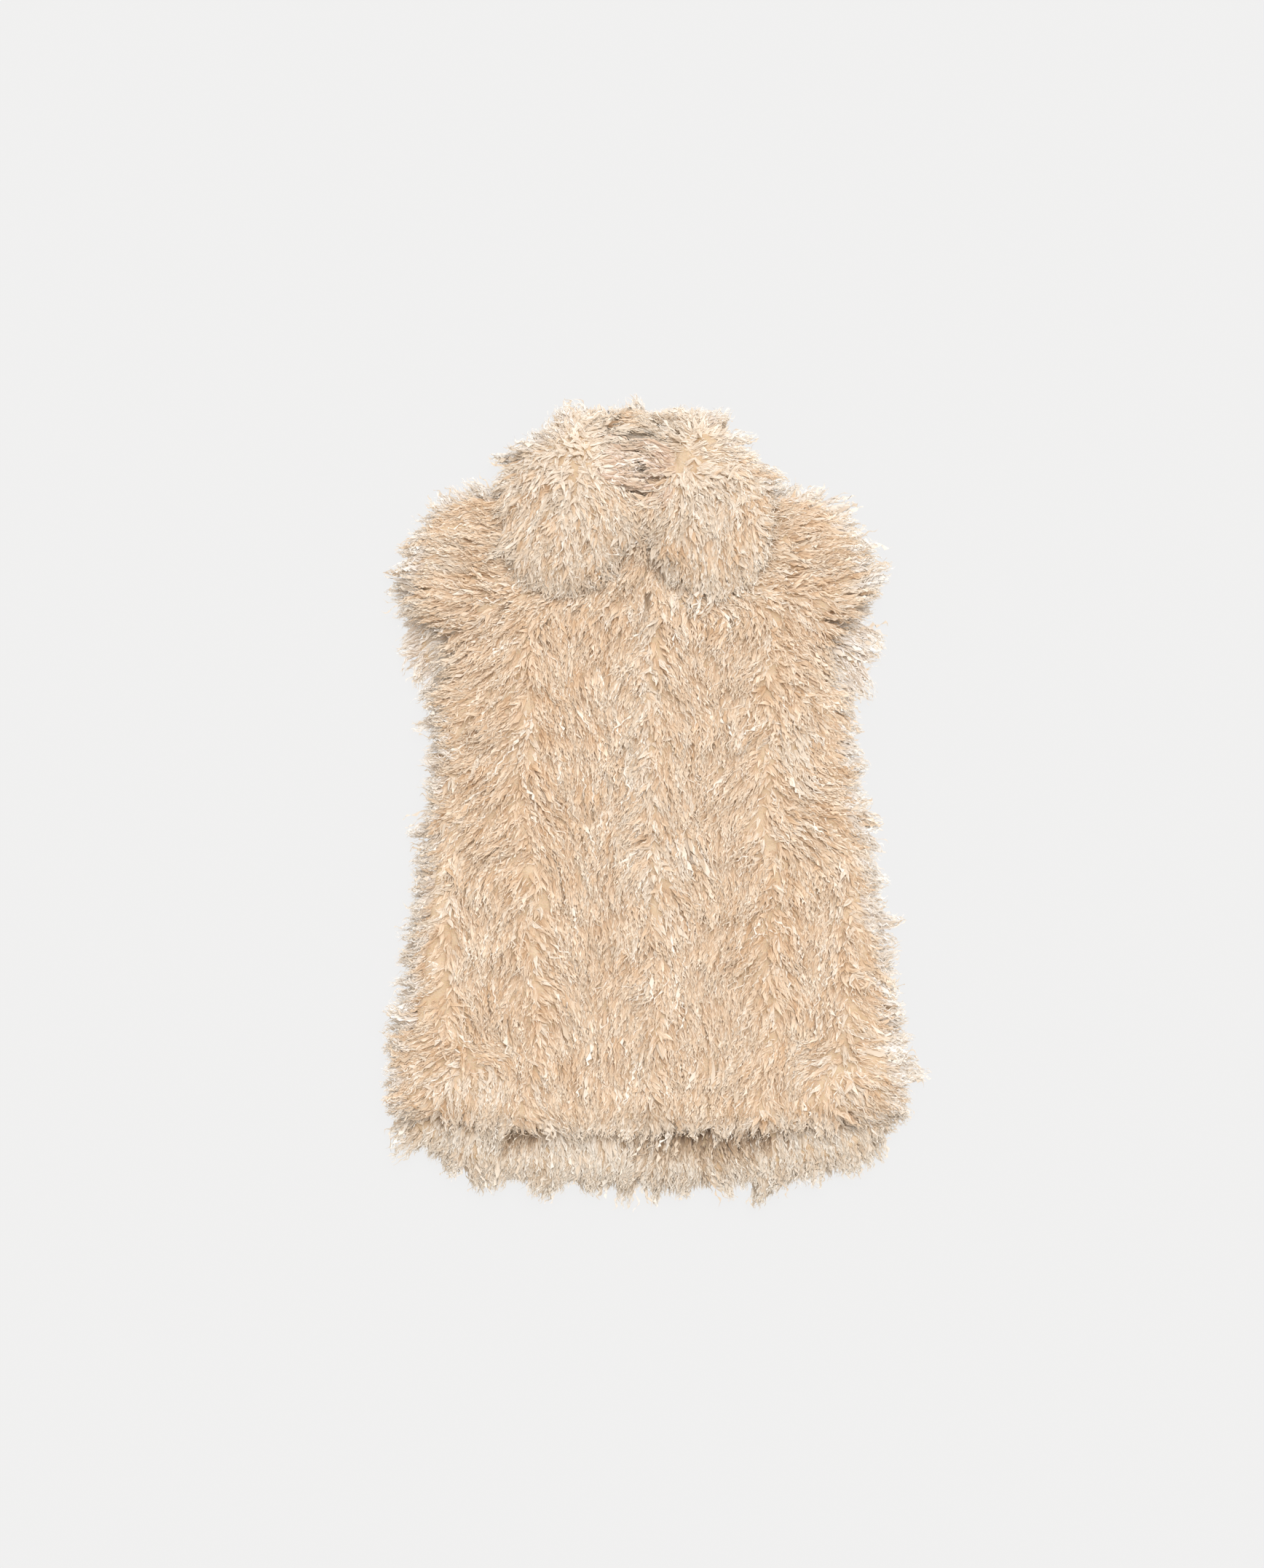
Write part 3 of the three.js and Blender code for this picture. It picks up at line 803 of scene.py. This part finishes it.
def fur_colour_group():
    """Inputs: the ribbon's place along and across the texture and its bands. Outputs: colour and streaks."""
    group = bpy.data.node_groups.new("fur colours", "ShaderNodeTree")
    interface = group.interface
    for name, value in (("Along", 0.5), ("Band", 0.5), ("Bands", 24.0), ("Variation", 0.12), ("Streaks", 0.2)):
        interface.new_socket(name=name, in_out="INPUT", socket_type="NodeSocketFloat").default_value = value
    interface.new_socket(name="Colour", in_out="OUTPUT", socket_type="NodeSocketColor")
    interface.new_socket(name="Streak", in_out="OUTPUT", socket_type="NodeSocketFloat")
    source = group.nodes.new("NodeGroupInput").outputs
    result = group.nodes.new("NodeGroupOutput").inputs

    zone_starts = [ZONES[zone][0] for zone in HAIR_COLOURS]
    roots = [(start, HAIR_COLOURS[zone][0]) for start, zone in zip(zone_starts, HAIR_COLOURS)]
    lengths = [(start, HAIR_COLOURS[zone][1]) for start, zone in zip(zone_starts, HAIR_COLOURS)]
    root = ramp(group, source["Band"], roots, "CONSTANT")
    length = ramp(group, source["Band"], lengths, "CONSTANT")
    # From root to length: the darker root is partly painted shade
    grown = add_node(group, "ShaderNodeMapRange", Value=source["Along"], From_Min=0.12, From_Max=0.72)
    colour = blend(group, grown.outputs[0], root, length)
    tip = add_node(group, "ShaderNodeMapRange", Value=source["Along"], From_Min=0.6, From_Max=1.0)
    colour = blend(group, arithmetic(group, "MULTIPLY", tip.outputs[0], 0.6), colour, PALE_TIP)

    banded = arithmetic(group, "MULTIPLY", source["Band"], source["Bands"])
    number = arithmetic(group, "FLOOR", banded)
    chance = add_node(group, "ShaderNodeTexWhiteNoise")
    chance.noise_dimensions = "1D"
    fill(group, chance.inputs["W"], number)
    across = arithmetic(group, "MULTIPLY", banded, 5.0)
    along = arithmetic(group, "MULTIPLY", source["Along"], 2.2)
    place = add_node(group, "ShaderNodeCombineXYZ", X=along, Y=across)
    streak = add_node(group, "ShaderNodeTexNoise", Vector=place.outputs[0], Scale=1.0, Detail=2.0)
    light = arithmetic(group, "SUBTRACT", chance.outputs["Value"], 0.5)
    light = arithmetic(group, "MULTIPLY_ADD", light, source["Variation"], 1.0)
    grain = arithmetic(group, "SUBTRACT", streak.outputs[0], 0.5)
    light = arithmetic(group, "MULTIPLY_ADD", grain, source["Streaks"], light)
    green, blue = (arithmetic(group, "POWER", light, power) for power in WARM_SHADE)
    shade = add_node(group, "ShaderNodeCombineXYZ", X=light, Y=green, Z=blue)
    fill(group, result["Colour"], blend(group, 1.0, colour, shade.outputs[0], "MULTIPLY"))
    fill(group, result["Streak"], streak.outputs[0])
    return group


fur_colours = fur_colour_group()
print("nodes in the group:", len(fur_colours.nodes))


# %% Materials of locks and hairs
def fur_material(name, bands, variation, streaks, bump, roughness):
    material = bpy.data.materials.new(name)
    material.use_nodes = True
    tree = material.node_tree
    shader = tree.nodes["Principled BSDF"]
    shader.inputs["Roughness"].default_value = roughness
    shader.inputs["Specular IOR Level"].default_value = 0.18
    uv = add_node(tree, "ShaderNodeUVMap")
    uv.uv_map = "OFBake"
    parts = add_node(tree, "ShaderNodeSeparateXYZ", Vector=uv.outputs[0])
    group = tree.nodes.new("ShaderNodeGroup")
    group.node_tree = fur_colours
    values = {"Along": parts.outputs["X"], "Band": parts.outputs["Y"], "Bands": bands}
    values |= {"Variation": variation, "Streaks": streaks}
    for socket, value in values.items():
        fill(tree, group.inputs[socket], value)
    fill(tree, shader.inputs["Base Color"], group.outputs["Colour"])
    raised = add_node(tree, "ShaderNodeBump", Strength=bump, Distance=0.4 * MM, Height=group.outputs["Streak"])
    fill(tree, shader.inputs["Normal"], raised.outputs[0])
    return material


LOCK_BANDS = 50
HAIR_BANDS = 100
lock_material = fur_material("fur locks", LOCK_BANDS, 0.12, 0.9, 0.5, 0.65)
hair_material = fur_material("fur hairs", HAIR_BANDS, 0.4, 0.1, 0.0, 0.5)


def undercoat_material():
    """Dense short wool, which is darker than the hairs and has no clear direction. Its darker tan is partly painted
    shade between the locks.
    """
    material = bpy.data.materials.new("fur undercoat")
    material.use_nodes = True
    tree = material.node_tree
    shader = tree.nodes["Principled BSDF"]
    shader.inputs["Roughness"].default_value = 0.9
    shader.inputs["Specular IOR Level"].default_value = 0.2
    place = add_node(tree, "ShaderNodeTexCoord").outputs["Object"]
    broad = add_node(tree, "ShaderNodeTexNoise", Vector=place, Scale=60.0, Detail=3.0)
    fine = add_node(tree, "ShaderNodeTexNoise", Vector=place, Scale=600.0, Detail=4.0)
    # A darker tan than the hairs: partly painted shade for the gaps between the locks
    colour = ramp(tree, broad.outputs[0], [(0.3, (0.72, 0.54, 0.36)), (0.7, (0.87, 0.71, 0.53))])
    fill(tree, shader.inputs["Base Color"], blend(tree, 0.3, colour, fine.outputs["Color"], "SOFT_LIGHT"))
    height = arithmetic(tree, "MULTIPLY_ADD", broad.outputs[0], 2.0, fine.outputs[0])
    raised = add_node(tree, "ShaderNodeBump", Strength=0.8, Distance=1.5 * MM, Height=height)
    fill(tree, shader.inputs["Normal"], raised.outputs[0])
    return material


wool = undercoat_material()
for skin in skins.values():
    skin.data.materials.clear()
    skin.data.materials.append(wool)
    skin.data.shade_smooth()
print("materials:", [material.name for material in bpy.data.materials if material.use_nodes])

# %% [markdown]
# ## Dressing the pieces
# Every panel gets its locks and, along each lock, a few single hairs that part from it a little. The hairs are
# what catches the light in thin wavy lines, and the curls among them are pale, partly painted highlight.

# %% Locks and hairs of a panel
LOCK_SPACING = 5.4 * MM
LOCK_WIDTH = (4.0 * MM, 6.0 * MM)
LOCK_END = (0.7, 0.85)  # a lock ends before its hairs do, so that tips are fine
PAIRS = np.repeat(np.arange(0, STEPS + 1, 2), 2)  # a lock is wide, so it has its points in pairs
HAIRS = {
    "width": (0.7 * MM, 1.2 * MM),
    "first": 0.16,  # a hair comes into sight this far along its lock
    "last": (0.6, 1.0),  # and ends here
    "apart": 4.2 * MM,
    "stray": 2.0 * MM,
    "above": (0.1 * MM, 1.5 * MM),
    "wave": (0.9 * MM, 2.2 * MM),
}
CURLS = {
    "width": (0.6 * MM, 1.1 * MM),
    "first": 0.1,
    "last": (0.7, 1.0),
    "apart": 3.0 * MM,
    "stray": 9.0 * MM,
    "above": (1.0 * MM, 3.0 * MM),
    "wave": (1.8 * MM, 3.2 * MM),
}
EDGE_WAVE = 1.35  # free tips are curlier by this
# Pale free tips: over the table they are whitish-grey, partly painted light through the tips
PALE_EDGES = 0.75  # the share of locks with a free tip that are pale
# Patches where more locks are a warmer tan, and where more are paler: middle and half sizes in mm. The flat warm
# patch at (-60, 190), under the collar's edge, is painted shade.
WARM_PATCHES = [(-96, 34, 45, 80), (-156, -243, 35, 28), (174, -235, 35, 30), (129, -130, 30, 45), (-60, 190, 90, 16)]
PALE_PATCHES = [(0, 40, 45, 130), (-215, -60, 25, 120), (215, -270, 40, 40), (-190, -290, 50, 25), (150, 60, 20, 60),
                (-215, 235, 40, 40), (215, 225, 40, 45), (215, 10, 20, 120)]
CREST_PATCHES = [(-74, 356, 30, 42), (50, 352, 30, 42)]
# One looks into the gap between the layers where the fronts' hem stands off most, and the back's locks there are
# painted dark as shadow
HEM_GAPS = [(62, -342, 72, 12), (-126, -332, 18, 10)]
OUTER_TIPS = 0.75  # the depth in the blurred outline from which tips end over the table
NECK_ROWS = (320 * MM, 396 * MM)
CLOSING = 0.7  # the share by which a lock's hairs close in on its tip
CURL_SHARE = 0.2  # of the locks have a curl
PARTS_FROM = 20.0  # the comb's divergence, per metre
NEAR = 2 * MM
FILL_SPACING = 5.4 * MM
FILL_LENGTH = 23 * MM
FILL_TURN = np.radians(30)


def tapered(width):
    """The width along a ribbon: full by a third of its length, and a point at the tip."""
    shape = np.minimum(0.6 + 1.3 * SHARES, 1) * np.clip((1 - SHARES) / 0.6, 0, 1) ** 0.9
    return width[:, None] * np.maximum(shape, 0.04)[None]


def near_any(places, x, y):
    """How near a place is to the middle of one of some patches: 1 in the middle, and 0 far off."""
    bells = [np.exp(-(((x / MM - px) / rx) ** 2) - ((y / MM - py) / ry) ** 2) for px, py, rx, ry in places]
    return np.max(bells, axis=0)


def zones_of(locks, roots, light=0.0):
    """The colour zone of each lock: free tips are paler, and some tufts warmer. light is a share of locks."""
    x, y = roots[:, 0], roots[:, 1]
    zones = np.full(len(roots), "body", object)
    zones[random.random(len(roots)) < light] = "light"
    zones[(tuft_rise.at(x * 0.6, y * 0.6 + 1.0) + random.normal(0, 0.5, len(roots))) > 1.3] = "warm"
    # Warm patches: a darker, warmer tan; under the collar's edge this is painted shade
    zones[random.random(len(roots)) < 0.75 * near_any(WARM_PATCHES, x, y)] = "warm"
    zones[random.random(len(roots)) < 0.45 * near_any(PALE_PATCHES, x, y)] = "light"
    zones[random.random(len(roots)) < 1.3 * near_any(CREST_PATCHES, x, y)] = "light"
    pale = locks.at_edge & (random.random(len(roots)) < PALE_EDGES)
    outer = whole_edge.depth(locks.lines[:, -1, 0], locks.lines[:, -1, 1]) < OUTER_TIPS
    zones[pale] = "light"
    # Tips over the table: whitish-grey, partly painted light through them from behind
    zones[pale & outer] = "edge"
    zones[in_neck(x, y) & (y > NECK_ROWS[0])] = "neck"
    return zones


def strands(name, locks, zones, many, look):
    """Single hairs that leave their lock a little to each side, and end sooner or later than it."""
    total = len(many)
    last = random.uniform(*look["last"], total)
    lines = stretch(locks.lines[many], look["first"], last)
    normals = locks.normals[many]
    side, up = frames(lines, normals, np.radians(16) * random.normal(0, 1, total))
    apart = look["apart"] * random.uniform(-1, 1, total)
    stray = look["stray"] * random.normal(0, 1, total)
    flare = apart[:, None] * (1 - CLOSING * SHARES) + stray[:, None] * SHARES**1.5
    above = random.uniform(*look["above"], total)
    lines = lines + flare[..., None] * side + above[:, None, None] * up
    phase = locks.phase[many] + random.normal(0, 1.2, total)
    pitch = locks.pitch[many] * random.normal(1, 0.12, total)
    size = random.uniform(*look["wave"], total) * np.where(locks.at_edge[many], EDGE_WAVE, 1)
    lines = waved(lines, side, up, phase, pitch, locks.length[many] * (last - look["first"]), size)
    widths = tapered(random.uniform(*look["width"], total))
    shares = look["first"] + (1 - look["first"]) * SHARES
    return ribbons(name, lines, side, up, normals, widths, zones[many], HAIR_BANDS, hair_material, shares)


def dress(name, locks, roots, hairs=(3, 3), zone=None, light=0.0, start=0.0):
    """The locks, hairs and curls of one panel. hairs gives how many go along each lock, in each piece.

    start is the place on a hair's length from which the locks have their colour.
    """
    count = len(roots)
    zones = zones_of(locks, roots, light) if zone is None else np.full(count, zone, object)
    lines = stretch(locks.lines, 0, random.uniform(*LOCK_END, count))
    side, up = frames(lines, locks.normals, np.radians(12) * random.normal(0, 1, count))
    widths = tapered(random.uniform(*LOCK_WIDTH, count))
    parts = [part[:, PAIRS] for part in (lines, side, up)]
    shares = start + (0.8 - start) * SHARES[PAIRS]
    made = [ribbons(
        f"{name}_locks", *parts, locks.normals, widths[:, PAIRS], zones, LOCK_BANDS, lock_material, shares
    )]
    for number, per_lock in enumerate(hairs):
        many = np.repeat(np.arange(count), per_lock)
        made.append(strands(f"{name}_hairs_{number + 1}", locks, zones, many, HAIRS))
    curled = np.flatnonzero(random.random(count) < CURL_SHARE)
    # Curls are pale: partly painted highlight, the thin bright strands
    light = np.full(count, "light", object)
    made.append(strands(f"{name}_curls", locks, light, curled, CURLS))
    print(name, "locks:", count, "triangles:", sum(len(piece.data.polygons) for piece in made))
    return made


def diverging(comb):
    """The test for places where the fur parts."""

    def wanted(places):
        x, y = places[:, 0], places[:, 1]
        spread = comb(x + NEAR, y)[:, 0] - comb(x - NEAR, y)[:, 0]
        spread += comb(x, y + NEAR)[:, 1] - comb(x, y - NEAR)[:, 1]
        return spread / (2 * NEAR) > PARTS_FROM

    return wanted


def fill_partings(name, panel, comb, edge, ground, spacing=FILL_SPACING, light=0.3, only=None):
    """Short locks in all directions where the fur parts, which stand up and hide the skin."""
    shows, parts = showing(panel, comb), diverging(comb)

    def wanted(places, normals):
        kept = shows(places, normals) & parts(places)
        return kept if only is None else kept & only(places)

    roots, normals = scattered(skins[panel].data, spacing, wanted)
    locks = Locks(roots, normals, comb, FILL_LENGTH, edge, ground, 1.2, turn=FILL_TURN, mix=3 * PARTING_MIX)
    return dress(f"{name}_parting", locks, roots, (1,), light=light, start=0.3)


# %% The fronts
# Round the armholes their fur hangs over the scoop as far as the back's outline, but for two dark gaps
ARMHOLE_ROWS = (165 * MM, 75 * MM)  # the middle row and half the height
ARMHOLE_BRIDGE = 30 * MM
PIT_OPENING = (4 * MM, 4 * MM)
HEM_SPRING = 0.85  # the fronts' hem hangs on the back's
HEM_ROWS = (-290 * MM, -320 * MM)
# Where one looks under the collar's edge, the fronts' locks are painted with shade
UNDER_COLLAR = (0.2, 0.5)  # the depths in the collar's blurred outline where one looks under its edge


def by_armhole(x, y):
    return (np.abs(x) > 150 * MM) & (np.abs(y - ARMHOLE_ROWS[0]) < ARMHOLE_ROWS[1])


fur = {}
pits = in_pit(cells_x, cells_y) > 0.5
scoops = (outlines["back"] > 0) & by_armhole(cells_x, cells_y)
fronts_outline = Outline(FRONTS, 6 * MM, scoops, pits)
raised = np.maximum(grounds["fronts"].heights, np.where(scoops & ~pits, ARMHOLE_BRIDGE, 0))
bridged = Ground(raised)
for name in FRONTS:
    roots, normals = scattered(skins[name].data, LOCK_SPACING, showing(name, body_comb))
    near = by_armhole(roots[:, 0], roots[:, 1])
    past = np.where(near, 14 * MM, 4 * MM)
    low = smooth_step(roots[:, 1], *HEM_ROWS) * (1 - 0.8 * near_any(HEM_GAPS, roots[:, 0], roots[:, 1]))
    spring = SPRING + (HEM_SPRING - SPRING) * low
    locks = Locks(
        roots, normals, body_comb, 38 * MM, fronts_outline, bridged, spring=spring, past=past, facing=1.5 * near
    )
    clear = locks.clear_of(ARMHOLE_PITS, PIT_OPENING)
    locks.keep(clear)
    roots = roots[clear]
    zones = zones_of(locks, roots)
    # Painted shade under the collar's edge: most locks there get the darker warm zone, and a few the near-black deep
    # zone
    under = collar_edge.depth(roots[:, 0], roots[:, 1])
    under = (under > UNDER_COLLAR[0]) & (under < UNDER_COLLAR[1]) & (roots[:, 1] < 260 * MM)
    chance = random.random(len(roots))
    zones[under & (chance < 0.6)] = "warm"
    zones[under & (chance < 0.05)] = "deep"
    fur[name] = dress(name, locks, roots, zone=zones)
    fur[name] += fill_partings(name, name, body_comb, fronts_outline, bridged)

# %% The collar
COLLAR_PAST = -2 * MM  # how far the tips pass the collar's outline
COLLAR_FACING = 1.0
COLLAR_LIGHT = 0.4  # the share of its locks that are paler than the body's
collar_outline = Outline(["collar"], 12 * MM, neck_hole)
all_roots, all_normals = scattered(skins["collar"].data, LOCK_SPACING, showing("collar", collar_comb(0)))
NOTCH = (-7 * MM, 308 * MM)  # one looks down to the neck's seam here
NOTCH_REACH = (2.5 * MM, 8 * MM)


def inner_facing(roots):
    """Hair on the fold's inner side lies up over it, so it is lit from above."""
    return np.where(in_neck(roots[:, 0], roots[:, 1], 1.6), 2.5, COLLAR_FACING)


on_left = all_roots[:, 0] + random.normal(0, 4 * MM, len(all_roots)) > COLLAR_MIDDLE
for name, half, crest in (("collar_right", ~on_left, 0), ("collar_left", on_left, 1)):
    roots, normals, comb = all_roots[half], all_normals[half], collar_comb(crest)
    locks = Locks(
        roots, normals, comb, 44 * MM, collar_outline, grounds["collar"],
        0.6, spring=0.95, mix=9 * MM, past=COLLAR_PAST, uneven=12 * MM, facing=inner_facing(roots),
    )
    clear = locks.clear_of([NOTCH], NOTCH_REACH)
    locks.keep(clear)
    roots = roots[clear]
    fur[name] = dress(name, locks, roots, (4, 3), light=COLLAR_LIGHT)

    def same_half(places, sign=2 * crest - 1):
        return sign * (places[:, 0] - COLLAR_MIDDLE) > 0

    fur[name] += fill_partings(name, "collar", comb, collar_outline, grounds["collar"], 3.3 * MM, 0.7, same_half)


# %% The neck
# Long hairs from the fold's inner side cross the opening from the left and the right
NECK_RIM = 1.7  # how far out of the opening they are rooted, in its own half sizes
NECK_ROOTS_ABOVE = 40 * MM
NECK_TURN = np.radians(14)
NECK_SPACING = 3.8 * MM
NECK_FACING = 3.0  # they lie over the opening, so they face up though they are rooted on its wall


def neck_rim(places, normals):
    x, y, z = places.T
    return in_neck(x, y, NECK_RIM) & (y > NECK_ROWS[0]) & (y < NECK_ROWS[1]) & (z > NECK_ROOTS_ABOVE)


whole_outline = Outline(list(outlines), 8 * MM, neck_hole)
all_roots, all_normals = scattered(skins["collar"].data, NECK_SPACING, neck_rim)
fur["neck"] = []
for name, side in (("neck_right", 1), ("neck_left", -1)):

    def neck_comb(x, y, angle=side * np.radians(80)):
        return turned(direction(np.full(np.shape(x), angle)), x, y, 2.0)

    half = side * (all_roots[:, 0] - NECK_MIDDLE[0]) < 0
    roots, normals = all_roots[half], all_normals[half]
    locks = Locks(
        roots, normals, neck_comb, 50 * MM, whole_outline, grounds["collar"], turn=NECK_TURN, facing=NECK_FACING
    )
    clear = locks.clear_of([NOTCH], NOTCH_REACH)
    locks.keep(clear)
    fur["neck"] += dress(f"collar_{name}", locks, roots[clear], (6,), "neck")

# %% The back and its hem
# Below this row the back's fur is greyer and a little darker: partly its whitish-grey tips, partly painted shade
# below the fronts' hem
GREY_HEM = -300 * MM  # the back's fur is greyer below this row


def hem_zones(roots):
    x, y = roots[:, 0], roots[:, 1]
    zones = np.where(y < GREY_HEM, "hem", "edge").astype(object)
    away = [np.hypot((x / MM - gx) / rx, (y / MM - gy) / ry) for gx, gy, rx, ry in HEM_GAPS]
    # Painted shadow: locks in the hem's gaps get the near-black deep zone
    zones[np.min(away, axis=0) < random.normal(1, 0.15, len(roots))] = "deep"
    return zones


hem_outline = Outline(["back", "back_hem_facing"], 7 * MM)
roots, normals = scattered(skins["back_hem_facing"].data, LOCK_SPACING, showing("back_hem_facing", hem_comb))
locks = Locks(roots, normals, hem_comb, 42 * MM, hem_outline, grounds["hem"], 0.8, past=9 * MM, uneven=11 * MM, facing=1.0)
fur["back_hem_facing"] = dress("back_hem_facing", locks, roots, (6,), hem_zones(roots))
roots, normals = scattered(skins["back"].data, LOCK_SPACING, showing("back", rim_comb))
locks = Locks(roots, normals, rim_comb, 42 * MM, hem_outline, grounds["back"], 0.8, past=7 * MM, uneven=11 * MM, facing=1.0)
fur["back"] = dress("back", locks, roots, (4,), hem_zones(roots))

# %% The underside
# The fur that the vest lies on is pressed flat, so it has few locks, and none stands out
UNDER_SPACING = 13 * MM


def underneath(places, normals):
    return normals[:, 2] < -0.97


roots, normals = scattered(skins["back"].data, UNDER_SPACING, underneath)
locks = Locks(roots, normals, body_comb, 40 * MM, hem_outline, grounds["floor"], -0.25)
fur["back"] += dress("back_under", locks, roots, (1,))

# %% [markdown]
# ## The backing cloth
# Such fur is knitted into a backing, and the backing is what a maker cuts: a back, two fronts, the facing of
# the back's hem and the collar. It hardly shows, but it is the vest's real form. Each panel is a thin closed
# sheet. Its edge lies inside the outline by the length of the fur that hangs past it.

# %% Sheets from grids
CLOTH = 1.4 * MM
SEAM = 10 * MM  # the maker's allowance round each panel
CLOTH_BLUR = 15 * MM
CLOTH_LEVEL = 0.93  # in the blurred outline, which is about 22 mm inside the tips
MEETING_GAP = 2 * MM  # from the closing line to each front's cloth


def knit_material():
    """A plain knitted backing, with its ribs as a bump."""
    material = bpy.data.materials.new("knitted backing")
    material.use_nodes = True
    tree = material.node_tree
    shader = tree.nodes["Principled BSDF"]
    shader.inputs["Roughness"].default_value = 0.9
    shader.inputs["Specular IOR Level"].default_value = 0.2
    place = add_node(tree, "ShaderNodeTexCoord").outputs["Object"]
    ribs = add_node(tree, "ShaderNodeTexWave", Vector=place, Scale=180.0, Distortion=0.6, Detail=1.0)
    colour = ramp(tree, ribs.outputs["Fac"], [(0.0, (0.62, 0.50, 0.37)), (1.0, (0.78, 0.67, 0.53))])
    fill(tree, shader.inputs["Base Color"], colour)
    raised = add_node(tree, "ShaderNodeBump", Strength=0.6, Distance=0.3 * MM, Height=ribs.outputs["Fac"])
    fill(tree, shader.inputs["Normal"], raised.outputs[0])
    return material


knit = knit_material()


def sheet_from(name, points):
    """A closed sheet of cloth under a grid of points. Its cut size, with the seam allowance, is worked out but not
    used.
    """
    rows, columns = points.shape[:2]
    count = rows * columns
    down = unit(np.cross(np.gradient(points, axis=1), np.gradient(points, axis=0)))
    vertices = np.concatenate([points.reshape(-1, 3), (points - CLOTH * down).reshape(-1, 3)])
    number = np.arange(count).reshape(rows, columns)
    corners = (number[:-1, :-1], number[:-1, 1:], number[1:, 1:], number[1:, :-1])
    upper = np.stack(corners, axis=-1).reshape(-1, 4)
    rim = np.concatenate([number[0], number[1:, -1], number[-1, -2::-1], number[-2:0:-1, 0]])
    following = np.roll(rim, -1)
    wall = np.stack([rim, rim + count, following + count, following], axis=-1)
    mesh = bpy.data.meshes.new(name)
    mesh.from_pydata(vertices.tolist(), [], np.concatenate([upper, upper[:, ::-1] + count, wall]).tolist())
    mesh.materials.append(knit)
    piece = link(name, mesh)

    along = np.linalg.norm(np.diff(points, axis=0), axis=-1)
    across = np.linalg.norm(np.diff(points, axis=1), axis=-1)
    a, b, c, d = (points[corner // columns, corner % columns] for corner in corners)
    area = np.linalg.norm(np.cross(c - a, d - b), axis=-1).sum() / 2
    around = along[:, 0].sum() + along[:, -1].sum() + across[0].sum() + across[-1].sum()
    area += SEAM * around
    return piece


# %% Flat panels
def panel_rows(names, side=0, rows=40, columns=24, highest_row=None):
    """Points of a flat panel inside the outline. side is -1 or 1 for a front, and 0 for the whole width."""
    edge = Outline(names, CLOTH_BLUR)
    line_y, line_x = np.array(CLOSING_LINE).T * MM
    spans = []
    for j, y in enumerate(map_y):
        own = edge.inside[:, j] > CLOTH_LEVEL
        if side:
            own &= side * (map_x - np.interp(y, line_y, line_x)) > MEETING_GAP
        if own.sum() * CELL > 50 * MM and (highest_row is None or y < highest_row):
            spans.append((y, map_x[own].min(), map_x[own].max()))
    y, low, high = np.array(spans).T
    chosen = np.linspace(y[0], y[-1], rows)
    low, high = np.interp(chosen, y, low), np.interp(chosen, y, high)
    across = np.linspace(0, 1, columns)
    x = low[:, None] * (1 - across) + high[:, None] * across
    return x, np.broadcast_to(chosen[:, None], x.shape)


PANEL_HEIGHTS = {"back": 16.4 * MM, "fronts": 18.6 * MM, "back_hem_facing": 18.6 * MM}
FACING_DEPTH = 62 * MM  # how far the hem is turned up, without its seam allowance


def flat_panel(name, height, x, y):
    return sheet_from(name, np.stack([x, y, np.full_like(x, height)], axis=-1))


back_x, back_y = panel_rows(["back"])
flat_panel("back_cloth", PANEL_HEIGHTS["back"], back_x, back_y)
facing_x, facing_y = panel_rows(["back"], rows=8, highest_row=back_y.min() + FACING_DEPTH)
flat_panel(
    "back_hem_facing_cloth", PANEL_HEIGHTS["back_hem_facing"], facing_x, facing_y,
)
for name, side in (("front_left", 1), ("front_right", -1)):
    x, y = panel_rows(FRONTS, side)
    flat_panel(f"{name}_cloth", PANEL_HEIGHTS["fronts"], x, y)

# %% The collar's cloth
# Half of the collar, from its front end to the middle of the neck's back. Each row has the fold and the free
# edge, as x from the collar's middle, y and z in mm
COLLAR_ROWS = [
    ((2, 300, 60), (17, 226, 50)),
    ((12, 312, 64), (48, 204, 50)),
    ((27, 328, 66), (98, 199, 50)),
    ((37, 348, 66), (138, 232, 50)),
    ((46, 368, 61), (150, 284, 46)),
    ((56, 389, 47), (147, 328, 32)),
    ((50, 405, 31), (126, 336, 13)),
    ((28, 409, 20), (80, 306, 5)),
    ((0, 407, 19), (0, 292, 4.5)),
]
STAND_HEIGHT = 26 * MM  # from the neck's seam up to the fold
LOWEST_STAND = 8 * MM
FALL_SHARES = (0.0, 0.28, 0.56, 0.84)  # the cloth ends before the tips of the free edge
COLLAR_STATIONS = 49
COLLAR_INSET = 24 * MM  # the cloth is drawn in like the undercoat
cloth_edge = Outline(["collar"], SKIN_BLUR, neck_hole)

half = np.array(COLLAR_ROWS, float) * MM
strip = np.concatenate([half * (-1, 1, 1), half[-2::-1]]).reshape(-1, 6)
stations = np.linspace(0, len(strip) - 1, COLLAR_STATIONS)
strip = np.stack([np.interp(stations, np.arange(len(strip)), part) for part in strip.T], axis=-1)
fold, free_edge = strip[:, :3], strip[:, 3:]
foot = fold - (0, 0, STAND_HEIGHT)
foot[:, 2] = np.maximum(foot[:, 2], LOWEST_STAND)
columns = [foot, (foot + fold) / 2] + [fold + share * (free_edge - fold) for share in FALL_SHARES]
points = np.stack(columns, axis=1) + (COLLAR_MIDDLE, 0, 0)
rim = np.clip((1.0 - cloth_edge.depth(points[..., 0], points[..., 1])) / 0.5, 0, 1)
points[..., :2] -= COLLAR_INSET * rim[..., None] * cloth_edge.outward(points[..., 0], points[..., 1])
sheet_from("collar_cloth", points)
